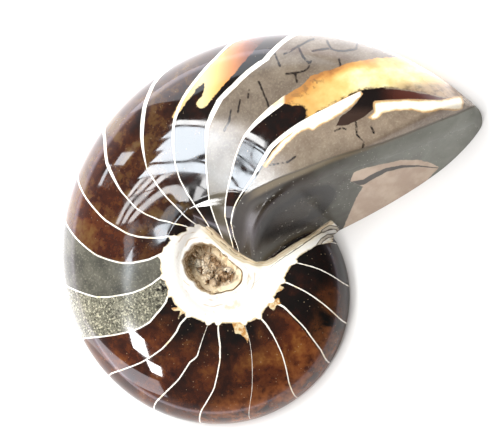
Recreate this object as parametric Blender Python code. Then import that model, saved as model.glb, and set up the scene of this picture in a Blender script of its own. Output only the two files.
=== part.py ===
"""Half of a fossil nautilus, sawn through its plane of coiling and polished.

It lies on the sawn face. The coiling axis stands upright, the whorl grows clockwise seen from above,
and the ground end of the body chamber lies along +X. The hollow at the axis holds a crust of crystals.
Metres, +Z up, with the origin under the middle of the object's box.
"""
import math
import random

import bmesh
import bpy
from mathutils import Matrix, Vector

# The outer edge of the whorl at the sawn face: radius against the angle back from the tip, in radians.
TIP_RADIUS = 0.0796
SHRINK_RATE = 0.1869
SHRINK_EASING = 0.0029

# Half of the whorl's section, as shares of its radius: the crest of the shoulder and the flank's roundness.
CREST_SHARE = 0.322
HEIGHT_SHARE = 0.3395
FLANK_FULLNESS = 0.787
FLANK_RISE = 0.796

# The floor of the umbilicus slopes down towards the younger side, and a wall climbs from it to the crest.
FLOOR_HEIGHT = 0.0124
FLOOR_SLOPE_X = -0.180
FLOOR_SLOPE_Y = 0.268
WALL_FOOT_DISTANCE = 0.0067
WALL_FOOT_BEARING = math.radians(18.2)
WALL_FOOT_LIMIT = 0.75
OLDER_FOOT_LIMIT = 0.92
WALL_FADE_START = math.radians(250.0)
WALL_FADE_SPAN = math.radians(80.0)
WALL_ROUNDNESS = 1.7

# The ground end of the body chamber: a leaning face that bows out, from the older whorl to the tip.
END_START = Vector((0.0302, -0.0050, 0.0))
END_TIP = Vector((0.0808, -0.0016, 0.0))
END_BOW = 0.0052
END_BOW_PEAK = 0.65
END_BOW_POWER = 1.6
END_LEAN = 2.2

# The hollow at the axis: an oval, a little uneven, that narrows towards its floor.
HOLLOW_CENTRE = Vector((-0.0028, 0.0042, 0.0))
HOLLOW_RADIUS = 0.0068
HOLLOW_STRETCH = 0.17
HOLLOW_BEARING = math.radians(80.0)
HOLLOW_WOBBLE = 0.04
HOLLOW_WOBBLES = 5
HOLLOW_FLOOR = 0.0075
HOLLOW_TAPER = 0.85

# The crust of crystals in the hollow, clear of the stone all round.
CRUST_GAP = 0.0003
SIDE_GAP = 0.0005
CRUST_THICKNESS = 0.0030
CRUST_DIP = 0.0004
CRUST_DIP_SHARE = 0.6
CRYSTAL_ROOT = 0.0018
CRYSTAL_SIDES = 6
CRYSTAL_SEED = 7

# Pointed crystals round the rim of the crust: where they stand, how they vary and how far they lean in.
RIM_CRYSTALS = 15
RIM_SHARE = HOLLOW_TAPER - 0.17
RIM_SPREAD = 0.3
RIM_UPRIGHTNESS = (1.9, 2.5)
RIM_CRYSTAL_RADIUS = (0.0010, 0.0013)
RIM_CRYSTAL_LENGTH = (0.0042, 0.0052)
RIM_CRYSTAL_BLUNTNESS = 0.1

# Blunt blocks on the floor of the crust, spread like the seeds of a flower head.
FLOOR_CRYSTALS = 5
FLOOR_SHARE = 0.30
FLOOR_LEAN = (-0.25, 0.25)
FLOOR_CRYSTAL_RADIUS = (0.0013, 0.0019)
FLOOR_CRYSTAL_LENGTH = (0.0028, 0.0036)
FLOOR_CRYSTAL_BLUNTNESS = 0.6
GOLDEN_ANGLE = math.radians(137.5)

# Plain colours for the two pieces.
SHELL_COLOUR = (0.13, 0.07, 0.045)
SHELL_ROUGHNESS = 0.12
CRUST_COLOUR = (0.33, 0.27, 0.19)
CRUST_ROUGHNESS = 0.35

# How finely the loft follows the shape.
STATION_STEP = math.radians(4.0)
FLANK_STEPS = 13
WALL_STEPS = 6
CORE_RADIUS = 0.0006
POST_RADIUS = 0.0012
POST_RISE = 0.0020
POST_SIDES = 12
HOLLOW_STEPS = 28
CRUST_STEPS = 20
END_STEPS_BEFORE_PEAK = 20
END_STEPS_PAST_PEAK = 16
OUTER_STATIONS = (-5, 46)
INNER_STATIONS = (44, 89)
CLEARANCE = 0.010


def whorl_radius(turn):
    """Radius of the outer edge at this angle back from the tip."""
    return TIP_RADIUS * math.exp(-SHRINK_RATE * turn + SHRINK_EASING * turn * turn)


def floor_height(x, y):
    return FLOOR_HEIGHT + FLOOR_SLOPE_X * x + FLOOR_SLOPE_Y * y


def wall_foot_radius(turn, crest_radius):
    """Where the umbilical wall meets the floor: along a straight seam, or close inside the crest."""
    facing = math.cos(turn - WALL_FOOT_BEARING)
    fading = min(max((turn - WALL_FADE_START) / WALL_FADE_SPAN, 0.0), 1.0)
    limit = crest_radius * (WALL_FOOT_LIMIT + (OLDER_FOOT_LIMIT - WALL_FOOT_LIMIT) * fading)
    if facing * limit < WALL_FOOT_DISTANCE:
        return limit
    return WALL_FOOT_DISTANCE / facing


def whorl_section(turn):
    """Points round the half section at this angle, from the foot of the core out, over the flank and back in."""
    radius = whorl_radius(turn)
    across = Vector((math.cos(turn), math.sin(turn), 0.0))
    points = [across * CORE_RADIUS]
    for step in range(FLANK_STEPS + 1):
        lean = 0.5 * math.pi * step / FLANK_STEPS
        across_flank = max(math.cos(lean), 0.0) ** FLANK_FULLNESS
        reach = CREST_SHARE + (1.0 - CREST_SHARE) * across_flank
        rise = HEIGHT_SHARE * math.sin(lean) ** FLANK_RISE
        points.append(across * (radius * reach) + Vector((0.0, 0.0, radius * rise)))
    crest_radius = CREST_SHARE * radius
    crest_height = HEIGHT_SHARE * radius
    foot = wall_foot_radius(turn, crest_radius)
    for step in range(1, WALL_STEPS + 1):
        share = 1.0 - step / WALL_STEPS
        place = across * (foot + (crest_radius - foot) * share)
        floor = floor_height(place.x, place.y)
        fill = 1.0 - (1.0 - share) ** WALL_ROUNDNESS if crest_height > floor else share
        points.append(place + Vector((0.0, 0.0, floor + (crest_height - floor) * fill)))
    core = across * CORE_RADIUS
    points.append(core + Vector((0.0, 0.0, floor_height(core.x, core.y))))
    return points


def mesh_object(name, mesh_builder, collection):
    mesh = bpy.data.meshes.new(name)
    mesh_builder.to_mesh(mesh)
    mesh_builder.free()
    made = bpy.data.objects.new(name, mesh)
    collection.objects.link(made)
    return made


def loft(name, sections, collection):
    """One closed solid through a row of sections that all have the same number of points."""
    builder = bmesh.new()
    rings = [[builder.verts.new(point) for point in section] for section in sections]
    for ring, following in zip(rings, rings[1:]):
        for index in range(len(ring)):
            beyond = (index + 1) % len(ring)
            builder.faces.new((ring[index], ring[beyond], following[beyond], following[index]))
    builder.faces.new(rings[0])
    builder.faces.new(reversed(rings[-1]))
    bmesh.ops.recalc_face_normals(builder, faces=builder.faces)
    return mesh_object(name, builder, collection)


def whorl_part(name, stations, collection):
    """A stretch of the whorl. Stretches that share stations have the same surface there."""
    first, last = stations
    turns = [STATION_STEP * station for station in range(first, last + 1)]
    return loft(name, [whorl_section(turn) for turn in turns], collection)


def end_bow(share):
    """How far the ground end bows out at this share of the way from the older whorl to the tip."""
    if share <= 0.0:
        return 0.0
    if share < END_BOW_PEAK:
        return END_BOW * (1.0 - ((END_BOW_PEAK - share) / END_BOW_PEAK) ** END_BOW_POWER)
    past_peak = min((share - END_BOW_PEAK) / (1.0 - END_BOW_PEAK), 1.0)
    return END_BOW * math.sqrt(1.0 - past_peak * past_peak)


def end_cutter(collection):
    """The waste beyond the ground end: its plan outline, extruded and sheared back by the lean."""
    along = END_TIP - END_START
    outward = Vector((along.y, -along.x, 0.0)).normalized()
    shares = [step / END_STEPS_BEFORE_PEAK * END_BOW_PEAK for step in range(END_STEPS_BEFORE_PEAK)]
    for step in range(END_STEPS_PAST_PEAK + 1):
        turned = math.sin(0.5 * math.pi * step / END_STEPS_PAST_PEAK)
        shares.append(END_BOW_PEAK + (1.0 - END_BOW_PEAK) * turned)
    outline = [END_START - along]
    outline += [END_START + along * share + outward * end_bow(share) for share in shares]
    outline += [END_TIP - outward * CLEARANCE, END_TIP + along - outward * CLEARANCE]
    outline += [END_TIP + along + outward * along.length, END_START - along + outward * along.length]
    low = -CLEARANCE
    high = TIP_RADIUS * HEIGHT_SHARE + CLEARANCE
    sections = []
    for height in (low, high):
        shift = Vector((0.0, 0.0, height)) - outward * (height / END_LEAN)
        sections.append([point + shift for point in outline])
    return loft("end_waste", sections, collection)


def hollow_reach(bearing):
    """The hollow is oval and a little uneven: its radius at this bearing, as a share of its mean."""
    oval = HOLLOW_STRETCH * math.cos(2.0 * (bearing - HOLLOW_BEARING))
    return 1.0 + oval + HOLLOW_WOBBLE * math.sin(HOLLOW_WOBBLES * bearing)


def hollow_ring(radius, height, count):
    points = []
    for step in range(count):
        bearing = 2.0 * math.pi * step / count
        reach = radius * hollow_reach(bearing)
        offset = Vector((math.cos(bearing) * reach, math.sin(bearing) * reach, height))
        points.append(HOLLOW_CENTRE + offset)
    return points


def hollow_radius(height):
    """Mean radius at this height: the hollow widens from its floor up to its rim."""
    rim = floor_height(HOLLOW_CENTRE.x, HOLLOW_CENTRE.y)
    climb = (height - HOLLOW_FLOOR) / (rim - HOLLOW_FLOOR)
    return HOLLOW_RADIUS * (HOLLOW_TAPER + (1.0 - HOLLOW_TAPER) * min(climb, 1.0))


def hollow_cutter(collection):
    rim = floor_height(HOLLOW_CENTRE.x, HOLLOW_CENTRE.y)
    top = TIP_RADIUS * HEIGHT_SHARE + CLEARANCE
    heights = (HOLLOW_FLOOR, rim, top)
    rings = [hollow_ring(hollow_radius(height), height, HOLLOW_STEPS) for height in heights]
    return loft("hollow_waste", rings, collection)


def add_standing_cone(builder, sides, foot_radius, top_radius, height):
    bmesh.ops.create_cone(
        builder, cap_ends=True, segments=sides, radius1=foot_radius, radius2=top_radius, depth=height
    )
    bmesh.ops.translate(builder, verts=builder.verts, vec=(0.0, 0.0, 0.5 * height))


def core_post(collection):
    """Solid stone at the axis, where the lofted whorls leave a thin gap."""
    builder = bmesh.new()
    height = HOLLOW_FLOOR + POST_RISE
    add_standing_cone(builder, POST_SIDES, POST_RADIUS, POST_RADIUS, height)
    return mesh_object("core_post", builder, collection)


def crystal(name, foot, direction, radius, length, blunt, collection):
    """A six-sided crystal that narrows to a point, or to a small flat end where it is blunt."""
    builder = bmesh.new()
    add_standing_cone(builder, CRYSTAL_SIDES, radius, radius * blunt, length)
    turn = direction.to_track_quat("Z", "Y").to_matrix().to_4x4()
    bmesh.ops.transform(builder, matrix=Matrix.Translation(foot) @ turn, verts=builder.verts)
    return mesh_object(name, builder, collection)


def crust_bed(collection):
    """The bowl of massive crystal that lines the floor of the hollow."""
    low = HOLLOW_FLOOR + CRUST_GAP
    high = low + CRUST_THICKNESS
    edge_radius = hollow_radius(high) - SIDE_GAP
    foot = hollow_ring(hollow_radius(low) - SIDE_GAP, low, CRUST_STEPS)
    edge = hollow_ring(edge_radius, high, CRUST_STEPS)
    dip = hollow_ring(CRUST_DIP_SHARE * edge_radius, high - CRUST_DIP, CRUST_STEPS)
    return loft("umbilical_crystals", [foot, edge, dip], collection)


def between(chance, limits):
    low, high = limits
    return low + (high - low) * chance.random()


def crystal_foot(bearing, reach):
    """A point inside the bed, rooted deep enough for the crystal to join it."""
    height = HOLLOW_FLOOR + CRUST_GAP + CRUST_THICKNESS - CRYSTAL_ROOT
    return HOLLOW_CENTRE + Vector((math.cos(bearing) * reach, math.sin(bearing) * reach, height))


def rim_crystals(chance, collection):
    """Pointed crystals that lean in from the rim of the bed."""
    made = []
    for step in range(RIM_CRYSTALS):
        bearing = 2.0 * math.pi * (step + RIM_SPREAD * chance.random()) / RIM_CRYSTALS
        upright = between(chance, RIM_UPRIGHTNESS)
        direction = Vector((-math.cos(bearing), -math.sin(bearing), upright)).normalized()
        foot = crystal_foot(bearing, HOLLOW_RADIUS * RIM_SHARE * hollow_reach(bearing))
        radius = between(chance, RIM_CRYSTAL_RADIUS)
        length = between(chance, RIM_CRYSTAL_LENGTH)
        name = f"rim_crystal_{step:02d}"
        blunt = RIM_CRYSTAL_BLUNTNESS
        made.append(crystal(name, foot, direction, radius, length, blunt, collection))
    return made


def floor_crystals(chance, collection):
    """Blunt blocks that stand on the middle of the bed."""
    made = []
    for step in range(FLOOR_CRYSTALS):
        reach = HOLLOW_RADIUS * FLOOR_SHARE * math.sqrt((step + 0.5) / FLOOR_CRYSTALS)
        foot = crystal_foot(GOLDEN_ANGLE * step, reach)
        lean_x = between(chance, FLOOR_LEAN)
        lean_y = between(chance, FLOOR_LEAN)
        direction = Vector((lean_x, lean_y, 1.0)).normalized()
        radius = between(chance, FLOOR_CRYSTAL_RADIUS)
        length = between(chance, FLOOR_CRYSTAL_LENGTH)
        name = f"floor_crystal_{step:02d}"
        blunt = FLOOR_CRYSTAL_BLUNTNESS
        made.append(crystal(name, foot, direction, radius, length, blunt, collection))
    return made


def add_boolean(target, other, operation):
    """Joins or cuts with another mesh, which is kept as a hidden helper."""
    change = target.modifiers.new(f"{operation.lower()}_{other.name}", "BOOLEAN")
    change.operation = operation
    change.solver = "EXACT"
    change.object = other
    other.hide_render = True
    other.display_type = "WIRE"


def surface(name, colour, roughness):
    material = bpy.data.materials.new(name)
    material.use_nodes = True
    shader = material.node_tree.nodes["Principled BSDF"]
    shader.inputs["Base Color"].default_value = (*colour, 1.0)
    shader.inputs["Roughness"].default_value = roughness
    shader.inputs["Metallic"].default_value = 0.0
    return material


def build_shell(parts, helpers):
    """The last half turn, ground off at its end, joined to the half turn before it and hollowed at the axis."""
    shell = whorl_part("nautilus_half", OUTER_STATIONS, parts)
    add_boolean(shell, end_cutter(helpers), "DIFFERENCE")
    add_boolean(shell, whorl_part("older_half_turn", INNER_STATIONS, helpers), "UNION")
    add_boolean(shell, core_post(helpers), "UNION")
    add_boolean(shell, hollow_cutter(helpers), "DIFFERENCE")
    shell.data.materials.append(surface("polished_shell", SHELL_COLOUR, SHELL_ROUGHNESS))
    return shell


def build_crust(parts, helpers):
    crust = crust_bed(parts)
    chance = random.Random(CRYSTAL_SEED)
    for piece in rim_crystals(chance, helpers) + floor_crystals(chance, helpers):
        add_boolean(crust, piece, "UNION")
    crust.data.materials.append(surface("calcite_crust", CRUST_COLOUR, CRUST_ROUGHNESS))
    return crust


def centre_on_footprint(shell, others):
    """Moves everything so that the origin lies under the middle of the shell's box."""
    bpy.context.view_layer.update()
    evaluated = shell.evaluated_get(bpy.context.evaluated_depsgraph_get())
    corners = [vertex.co for vertex in evaluated.data.vertices]
    middle_x = 0.5 * (min(corner.x for corner in corners) + max(corner.x for corner in corners))
    middle_y = 0.5 * (min(corner.y for corner in corners) + max(corner.y for corner in corners))
    for moved in [shell, *others]:
        moved.location = Vector((-middle_x, -middle_y, 0.0))


def main():
    for leftover in list(bpy.data.objects):
        bpy.data.objects.remove(leftover, do_unlink=True)
    parts = bpy.data.collections.new("fossil_nautilus_half")
    helpers = bpy.data.collections.new("cutters")
    for collection in (parts, helpers):
        bpy.context.scene.collection.children.link(collection)
    shell = build_shell(parts, helpers)
    crust = build_crust(parts, helpers)
    centre_on_footprint(shell, [crust, *helpers.objects])


main()
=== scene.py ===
"""The looks of half a fossil nautilus, sawn through its plane of coiling and polished.

The half lies on its sawn face. Its shape is a height over the sawn plane, worked out in plan from the
coiling axis in millimetres, with +X towards the tip. Its markings are outlines chosen on the
photograph, which is 500 by 439 pixels. The camera's own rays lay them on the surface.
"""

import math  # noqa: E402
import random  # noqa: E402

import bmesh  # noqa: E402
import bpy  # noqa: E402
import numpy as np  # noqa: E402
from mathutils import Matrix, Vector  # noqa: E402

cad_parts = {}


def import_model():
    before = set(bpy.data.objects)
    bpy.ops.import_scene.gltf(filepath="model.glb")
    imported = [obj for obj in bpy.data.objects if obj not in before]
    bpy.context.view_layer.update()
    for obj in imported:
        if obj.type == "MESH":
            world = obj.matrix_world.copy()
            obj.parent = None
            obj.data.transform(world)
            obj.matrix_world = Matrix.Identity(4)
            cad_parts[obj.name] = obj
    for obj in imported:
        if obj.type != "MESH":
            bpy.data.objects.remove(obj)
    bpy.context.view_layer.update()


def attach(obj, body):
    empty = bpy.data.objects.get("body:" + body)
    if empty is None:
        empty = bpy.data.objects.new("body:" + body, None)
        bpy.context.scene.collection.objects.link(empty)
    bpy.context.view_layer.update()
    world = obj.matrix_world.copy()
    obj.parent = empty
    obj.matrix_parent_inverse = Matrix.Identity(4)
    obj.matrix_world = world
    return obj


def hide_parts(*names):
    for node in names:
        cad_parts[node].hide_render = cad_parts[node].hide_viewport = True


MM = 0.001
AXIS_PLACE = np.array([-16.958, -12.547, 0.0])
FULL_TURN = 2.0 * math.pi
QUARTER_TURN = 0.5 * math.pi
NEARLY_NOUGHT = 1e-6

# The whorl, as in the part's source: its outer edge, its section and the floor of the umbilicus.
TIP_RADIUS = 79.6
SHRINK_RATE = 0.1869
SHRINK_EASING = 0.0029
CREST_SHARE = 0.322
HEIGHT_SHARE = 0.3395
FLANK_FULLNESS = 0.787
FLANK_RISE = 0.796
FLOOR_HEIGHT = 12.4
FLOOR_SLOPE_X = -0.180
FLOOR_SLOPE_Y = 0.268
WALL_FOOT_DISTANCE = 6.7
WALL_FOOT_BEARING = math.radians(18.2)
WALL_FOOT_LIMIT = 0.75
OLDER_FOOT_LIMIT = 0.92
WALL_FADE_START = math.radians(250.0)
WALL_FADE_SPAN = math.radians(80.0)
WALL_ROUNDNESS = 1.7

# The ground end of the body chamber.
END_START = np.array([30.2, -5.0])
END_TIP = np.array([80.8, -1.6])
END_BOW = 5.2
END_BOW_PEAK = 0.65
END_BOW_POWER = 1.6
END_LEAN = 2.2
END_EDGE_ROUNDING = 2.2
END_NECK_ROUNDING = 3.4
TIP_ROUNDING = 3.4
TIP_SHARE = 0.5
LEAST_ROUNDING = 0.05

# The hollow at the axis: its rim as radius at each bearing in degrees, and the depth of its floor.
HOLLOW_CENTRE = np.array([-2.6, 4.3])
HOLLOW_BEARINGS = [17, 50, 84, 133, 155, 189, 226, 258, 283, 300, 318, 335, 350]
HOLLOW_RADII = [5.3, 6.4, 7.7, 7.2, 6.4, 5.6, 6.6, 7.0, 8.0, 9.0, 8.6, 6.6, 5.6]
HOLLOW_FLOOR = 8.0
HOLLOW_WALL_WIDTH = 1.1
HOLLOW_WALL_POWER = 0.7
HOLLOW_SMOOTHING = (-8.0, -4.0, 0.0, 4.0, 8.0)
# Waves in the hollow's rim: their height, how many go round, and where they start.
HOLLOW_WAVES = [(0.12, 9.0, 1.0), (0.08, 17.0, 0.0)]

# The camera: where it stands over the axis, in the photograph's own frame. A ray is followed down in steps.
PHOTO_WIDTH = 500
PHOTO_HEIGHT = 439
PHOTO_TURN = math.radians(34.356)
CAMERA_TILT = math.radians(16.192)
CAMERA_BEARING = math.radians(-16.563)
CAMERA_DISTANCE = 467.5
FOCAL_PIXELS = 1700.0
AXIS_PIXEL = (240.456, 280.144)
RAY_STEPS = 600


def whorl_radius(turn):
    """Radius of the outer edge at this angle back from the tip."""
    return TIP_RADIUS * np.exp(-SHRINK_RATE * turn + SHRINK_EASING * turn * turn)


def wall_foot(turn, crest):
    """Radius where the umbilical wall meets the floor."""
    facing = np.cos(turn - WALL_FOOT_BEARING)
    fading = np.clip((turn - WALL_FADE_START) / WALL_FADE_SPAN, 0.0, 1.0)
    limit = crest * (WALL_FOOT_LIMIT + (OLDER_FOOT_LIMIT - WALL_FOOT_LIMIT) * fading)
    straight = WALL_FOOT_DISTANCE / np.maximum(facing, NEARLY_NOUGHT)
    return np.where(facing * limit < WALL_FOOT_DISTANCE, limit, straight)


def whorl_height(distance, turn, floor, share_scale=1.0):
    """Height of the half whorl at this distance from the axis. Beyond its edge the height is negative."""
    radius = whorl_radius(turn)
    share = 1.0 - (1.0 - distance / radius) * share_scale
    across = np.clip((share - CREST_SHARE) / (1.0 - CREST_SHARE), 0.0, 1.0)
    cosine = across ** (1.0 / FLANK_FULLNESS)
    top = HEIGHT_SHARE * radius
    flank = top * np.sqrt(1.0 - cosine * cosine) ** FLANK_RISE
    crest = CREST_SHARE * radius
    foot = wall_foot(turn, crest)
    climb = np.clip((distance - foot) / (crest - foot), 0.0, 1.0)
    rounded = 1.0 - (1.0 - climb) ** WALL_ROUNDNESS
    wall = floor + (top - floor) * np.where(top > floor, rounded, climb)
    height = np.where(distance < crest, wall, flank)
    return np.where(share < 1.0, height, (1.0 - share) * radius)


def end_distance(x, y):
    """How far inside the ground end's foot each point lies, in plan, and its share of the way to the tip."""
    along = END_TIP - END_START
    length = np.hypot(*along)
    along = along / length
    share = ((x - END_START[0]) * along[0] + (y - END_START[1]) * along[1]) / length
    behind = (y - END_START[1]) * along[0] - (x - END_START[0]) * along[1]
    before = 1.0 - np.clip((END_BOW_PEAK - share) / END_BOW_PEAK, 0.0, 1.0) ** END_BOW_POWER
    beyond = np.clip((share - END_BOW_PEAK) / (1.0 - END_BOW_PEAK), 0.0, 1.0)
    return behind + END_BOW * np.where(share < END_BOW_PEAK, before, np.sqrt(1.0 - beyond**2)), share


def smooth_lower(first, second, rounding):
    """The lower of two heights, with the crease between them rounded off."""
    overlap = np.clip(rounding - np.abs(first - second), 0.0, None) / rounding
    return np.minimum(first, second) - 0.25 * rounding * overlap * overlap


def surface_parts(x, y):
    """The two heights over each point: the last whorl with its ground end, and the whorl before it."""
    distance = np.hypot(x, y)
    angle = np.arctan2(y, x)
    floor = FLOOR_HEIGHT + FLOOR_SLOPE_X * x + FLOOR_SLOPE_Y * y
    inside_end, share = end_distance(x, y)
    inside_rim = whorl_radius(angle) - distance
    nearest = np.minimum(inside_end, inside_rim)
    off_corner = [np.maximum(TIP_ROUNDING - inside, 0.0) for inside in (inside_end, inside_rim)]
    corner = (TIP_ROUNDING - np.hypot(*off_corner)) / np.maximum(nearest, NEARLY_NOUGHT)
    facing_end = np.abs(angle) < QUARTER_TURN
    by_tip = facing_end & (nearest > 0.0) & (nearest < TIP_ROUNDING) & (share > TIP_SHARE)
    corner = np.where(by_tip, np.clip(corner, -1.0, 1.0), 1.0)
    outer = whorl_height(distance, angle, floor, np.maximum(corner, 0.0))
    end = END_LEAN * inside_end * corner
    neck = np.clip(1.0 - share, 0.0, 1.0) ** 2
    rounding = END_EDGE_ROUNDING + (END_NECK_ROUNDING - END_EDGE_ROUNDING) * neck
    rounding = np.minimum(rounding, LEAST_ROUNDING + np.clip(np.minimum(outer, end), 0.0, None))
    last = np.where(facing_end, smooth_lower(outer, end, rounding), outer)
    last = np.where(angle < -QUARTER_TURN, -1.0, last)
    return last, whorl_height(distance, angle + FULL_TURN, floor)


def plain_height(x, y):
    """Height of the shell without its hollow."""
    return np.maximum(*surface_parts(x, y))


def hollow_rim(bearing):
    """Radius of the hollow's rim round its own centre, through the listed bearings."""
    degrees = np.degrees(bearing) % 360.0
    known = np.array(HOLLOW_BEARINGS, float)
    around = np.concatenate([known - 360.0, known, known + 360.0])
    radii = np.tile(HOLLOW_RADII, 3)
    smooth = sum(np.interp(degrees + lag, around, radii) for lag in HOLLOW_SMOOTHING) / len(HOLLOW_SMOOTHING)
    return smooth + sum(tall * np.sin(count * bearing + start) for tall, count, start in HOLLOW_WAVES)


def past_hollow(x, y):
    """Distance beyond the hollow's rim, in plan. Inside the hollow it is negative."""
    away_x, away_y = x - HOLLOW_CENTRE[0], y - HOLLOW_CENTRE[1]
    return np.hypot(away_x, away_y) - hollow_rim(np.arctan2(away_y, away_x))


def surface_height(x, y):
    """Height of the shell with its hollow."""
    height = plain_height(x, y)
    inward = -past_hollow(x, y)
    drop = np.clip(inward / HOLLOW_WALL_WIDTH, 0.0, 1.0) ** HOLLOW_WALL_POWER
    return np.where(inward > 0.0, height + (HOLLOW_FLOOR - height) * drop, height)


def to_part(vector):
    """Turns a vector of the photograph's frame into the part's frame."""
    cosine, sine = math.cos(PHOTO_TURN), math.sin(PHOTO_TURN)
    x, y, z = vector
    return np.array([x * cosine + y * sine, y * cosine - x * sine, z])


def camera_axes():
    """Where the camera stands, in millimetres from the axis, with its right, up and backward directions."""
    lean = math.sin(CAMERA_TILT)
    back = np.array([lean * math.cos(CAMERA_BEARING), lean * math.sin(CAMERA_BEARING), math.cos(CAMERA_TILT)])
    right = np.cross((0.0, 1.0, 0.0), back)
    right = right / np.linalg.norm(right)
    up = np.cross(back, right)
    place = to_part(back * CAMERA_DISTANCE)
    aim_right = (0.5 * PHOTO_WIDTH - AXIS_PIXEL[0]) / FOCAL_PIXELS
    aim_up = (AXIS_PIXEL[1] - 0.5 * PHOTO_HEIGHT) / FOCAL_PIXELS
    centred_back = back - right * aim_right - up * aim_up
    centred_back = centred_back / np.linalg.norm(centred_back)
    centred_right = np.cross(up, centred_back)
    centred_right = centred_right / np.linalg.norm(centred_right)
    centred_up = np.cross(centred_back, centred_right)
    return place, to_part(centred_right), to_part(centred_up), to_part(centred_back)


CAMERA_PLACE, CAMERA_RIGHT, CAMERA_UP, CAMERA_BACK = camera_axes()


def to_photo(points):
    """Pixels of the photograph for points in millimetres from the axis."""
    away = points - CAMERA_PLACE
    depth = -away @ CAMERA_BACK
    across = 0.5 * PHOTO_WIDTH + FOCAL_PIXELS * (away @ CAMERA_RIGHT) / depth
    down = 0.5 * PHOTO_HEIGHT - FOCAL_PIXELS * (away @ CAMERA_UP) / depth
    return np.stack([across, down], -1)


def to_surface(pixels):
    """The point of the surface that the camera sees at each pixel, in plan."""
    pixels = np.asarray(pixels, float)
    across = (pixels[:, :1] - 0.5 * PHOTO_WIDTH) / FOCAL_PIXELS
    down = (pixels[:, 1:] - 0.5 * PHOTO_HEIGHT) / FOCAL_PIXELS
    rays = across * CAMERA_RIGHT - down * CAMERA_UP - CAMERA_BACK
    heights = np.linspace(TIP_RADIUS * HEIGHT_SHARE, 0.0, RAY_STEPS)
    reach = (heights[None, :] - CAMERA_PLACE[2]) / rays[:, 2:]
    x = CAMERA_PLACE[0] + rays[:, :1] * reach
    y = CAMERA_PLACE[1] + rays[:, 1:2] * reach
    met = plain_height(x, y) >= heights[None, :]
    met[:, -1] = True
    first = met.argmax(1)
    row = np.arange(len(pixels))
    return np.stack([x[row, first], y[row, first]], -1)


# The septa as pixels of the photograph, from the oldest one, each from the umbilicus out to the rim.
SEPTA = [
    [(314, 242), (328, 242), (341, 244)],
    [(292, 262), (306, 265), (319, 269), (334, 277), (346, 285)],
    [(282, 281), (294, 286), (306, 292), (327, 307), (344, 322)],
    [(271, 300), (284, 307), (293, 316), (304, 327), (312, 338), (321, 350), (328, 362)],
    [(257, 314), (266, 324), (273, 335), (282, 354), (286, 368), (289, 383), (298, 398)],
    [(245, 325), (250, 342), (252, 360), (252, 390), (250, 419)],
    [(218, 325), (220, 345), (220, 360), (217, 376), (214, 389), (201, 411), (200, 422)],
    [(203, 338), (197, 357), (190, 362), (179, 379), (167, 391), (156, 402), (154, 408)],
    [(180, 324), (177, 331), (172, 338), (163, 348), (152, 356), (140, 363), (127, 368), (112, 373)],
    [(169, 293), (166, 302), (161, 309), (150, 322), (140, 328), (128, 332), (107, 336), (86, 338)],
    [(161, 277), (152, 284), (143, 289), (132, 293), (121, 295), (109, 297), (96, 297), (80, 292),
     (65, 285)],
    [(159, 255), (151, 259), (143, 261), (132, 263), (121, 263), (109, 260), (96, 255), (77, 239),
     (65, 220)],
    [(172, 236), (161, 238), (150, 238), (139, 237), (128, 234), (105, 220), (86, 198), (79, 184),
     (78, 175)],
    [(191, 228), (175, 224), (159, 220), (147, 215), (137, 209), (121, 191), (107, 163), (105, 140),
     (110, 118), (123, 102)],
    [(198, 226), (188, 219), (179, 210), (168, 199), (159, 188), (147, 169), (142, 140), (145, 105),
     (156, 80), (174, 65)],
    [(207, 223), (198, 210), (188, 195), (180, 180), (175, 163), (173, 145), (174, 122), (182, 100),
     (196, 80), (217, 57)],
    [(223, 239), (216, 222), (210, 204), (206, 166), (207, 128), (212, 115), (221, 98), (232, 88),
     (247, 73), (265, 60), (309, 33)],
    [(233, 246), (229, 232), (225, 217), (226, 198), (230, 179), (235, 158), (242, 140), (252, 127),
     (265, 115), (284, 100), (301, 86), (319, 73), (346, 64), (378, 58)],
    [(239, 252), (234, 238), (231, 223), (234, 207), (242, 193), (252, 179), (261, 163), (271, 147),
     (286, 134), (306, 121), (330, 109), (360, 94)],
]
# Half the width of each septum's edge in millimetres, near the umbilicus and near the rim, and the share of
# the whorl's radius at which it widens.
SEPTUM_WIDTHS = [
    (0.18, 0.12, 0.50), (0.18, 0.14, 0.50), (0.24, 0.16, 0.40), (0.26, 0.16, 0.50),
    (0.22, 0.14, 0.50), (0.04, 0.05, 0.50), (0.20, 0.16, 0.50), (0.06, 0.18, 0.42),
    (0.22, 0.18, 0.50), (0.24, 0.18, 0.50), (0.22, 0.18, 0.50), (0.24, 0.18, 0.50),
    (0.20, 0.22, 0.50), (0.16, 0.46, 0.62), (0.16, 0.62, 0.62), (0.16, 0.44, 0.55),
    (0.16, 0.75, 0.50), (0.16, 0.95, 0.50), (0.16, 0.62, 0.34),
]
# Steps along each septum, how it is carried on past its last pixel, and the least angle between two septa.
SEPTUM_STEPS = 41
LEAST_END_SHARE = 0.02
END_SLOPE_SHARE = 0.6
END_SLOPE_LIMITS = (-2.5, 0.5)
LEAST_SEPTUM_ANGLE = math.radians(2.0)
ANGLE_BEFORE_FIRST = math.radians(18.0)
ANGLE_AFTER_LAST = math.radians(30.0)
# How far apart the slope of the count of septa is measured, in millimetres, and its limits.
COUNT_STEP = 0.02
COUNT_SLOPE_LIMITS = (0.05, 5.0)
WIDENING_SHARE = 0.15


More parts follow.
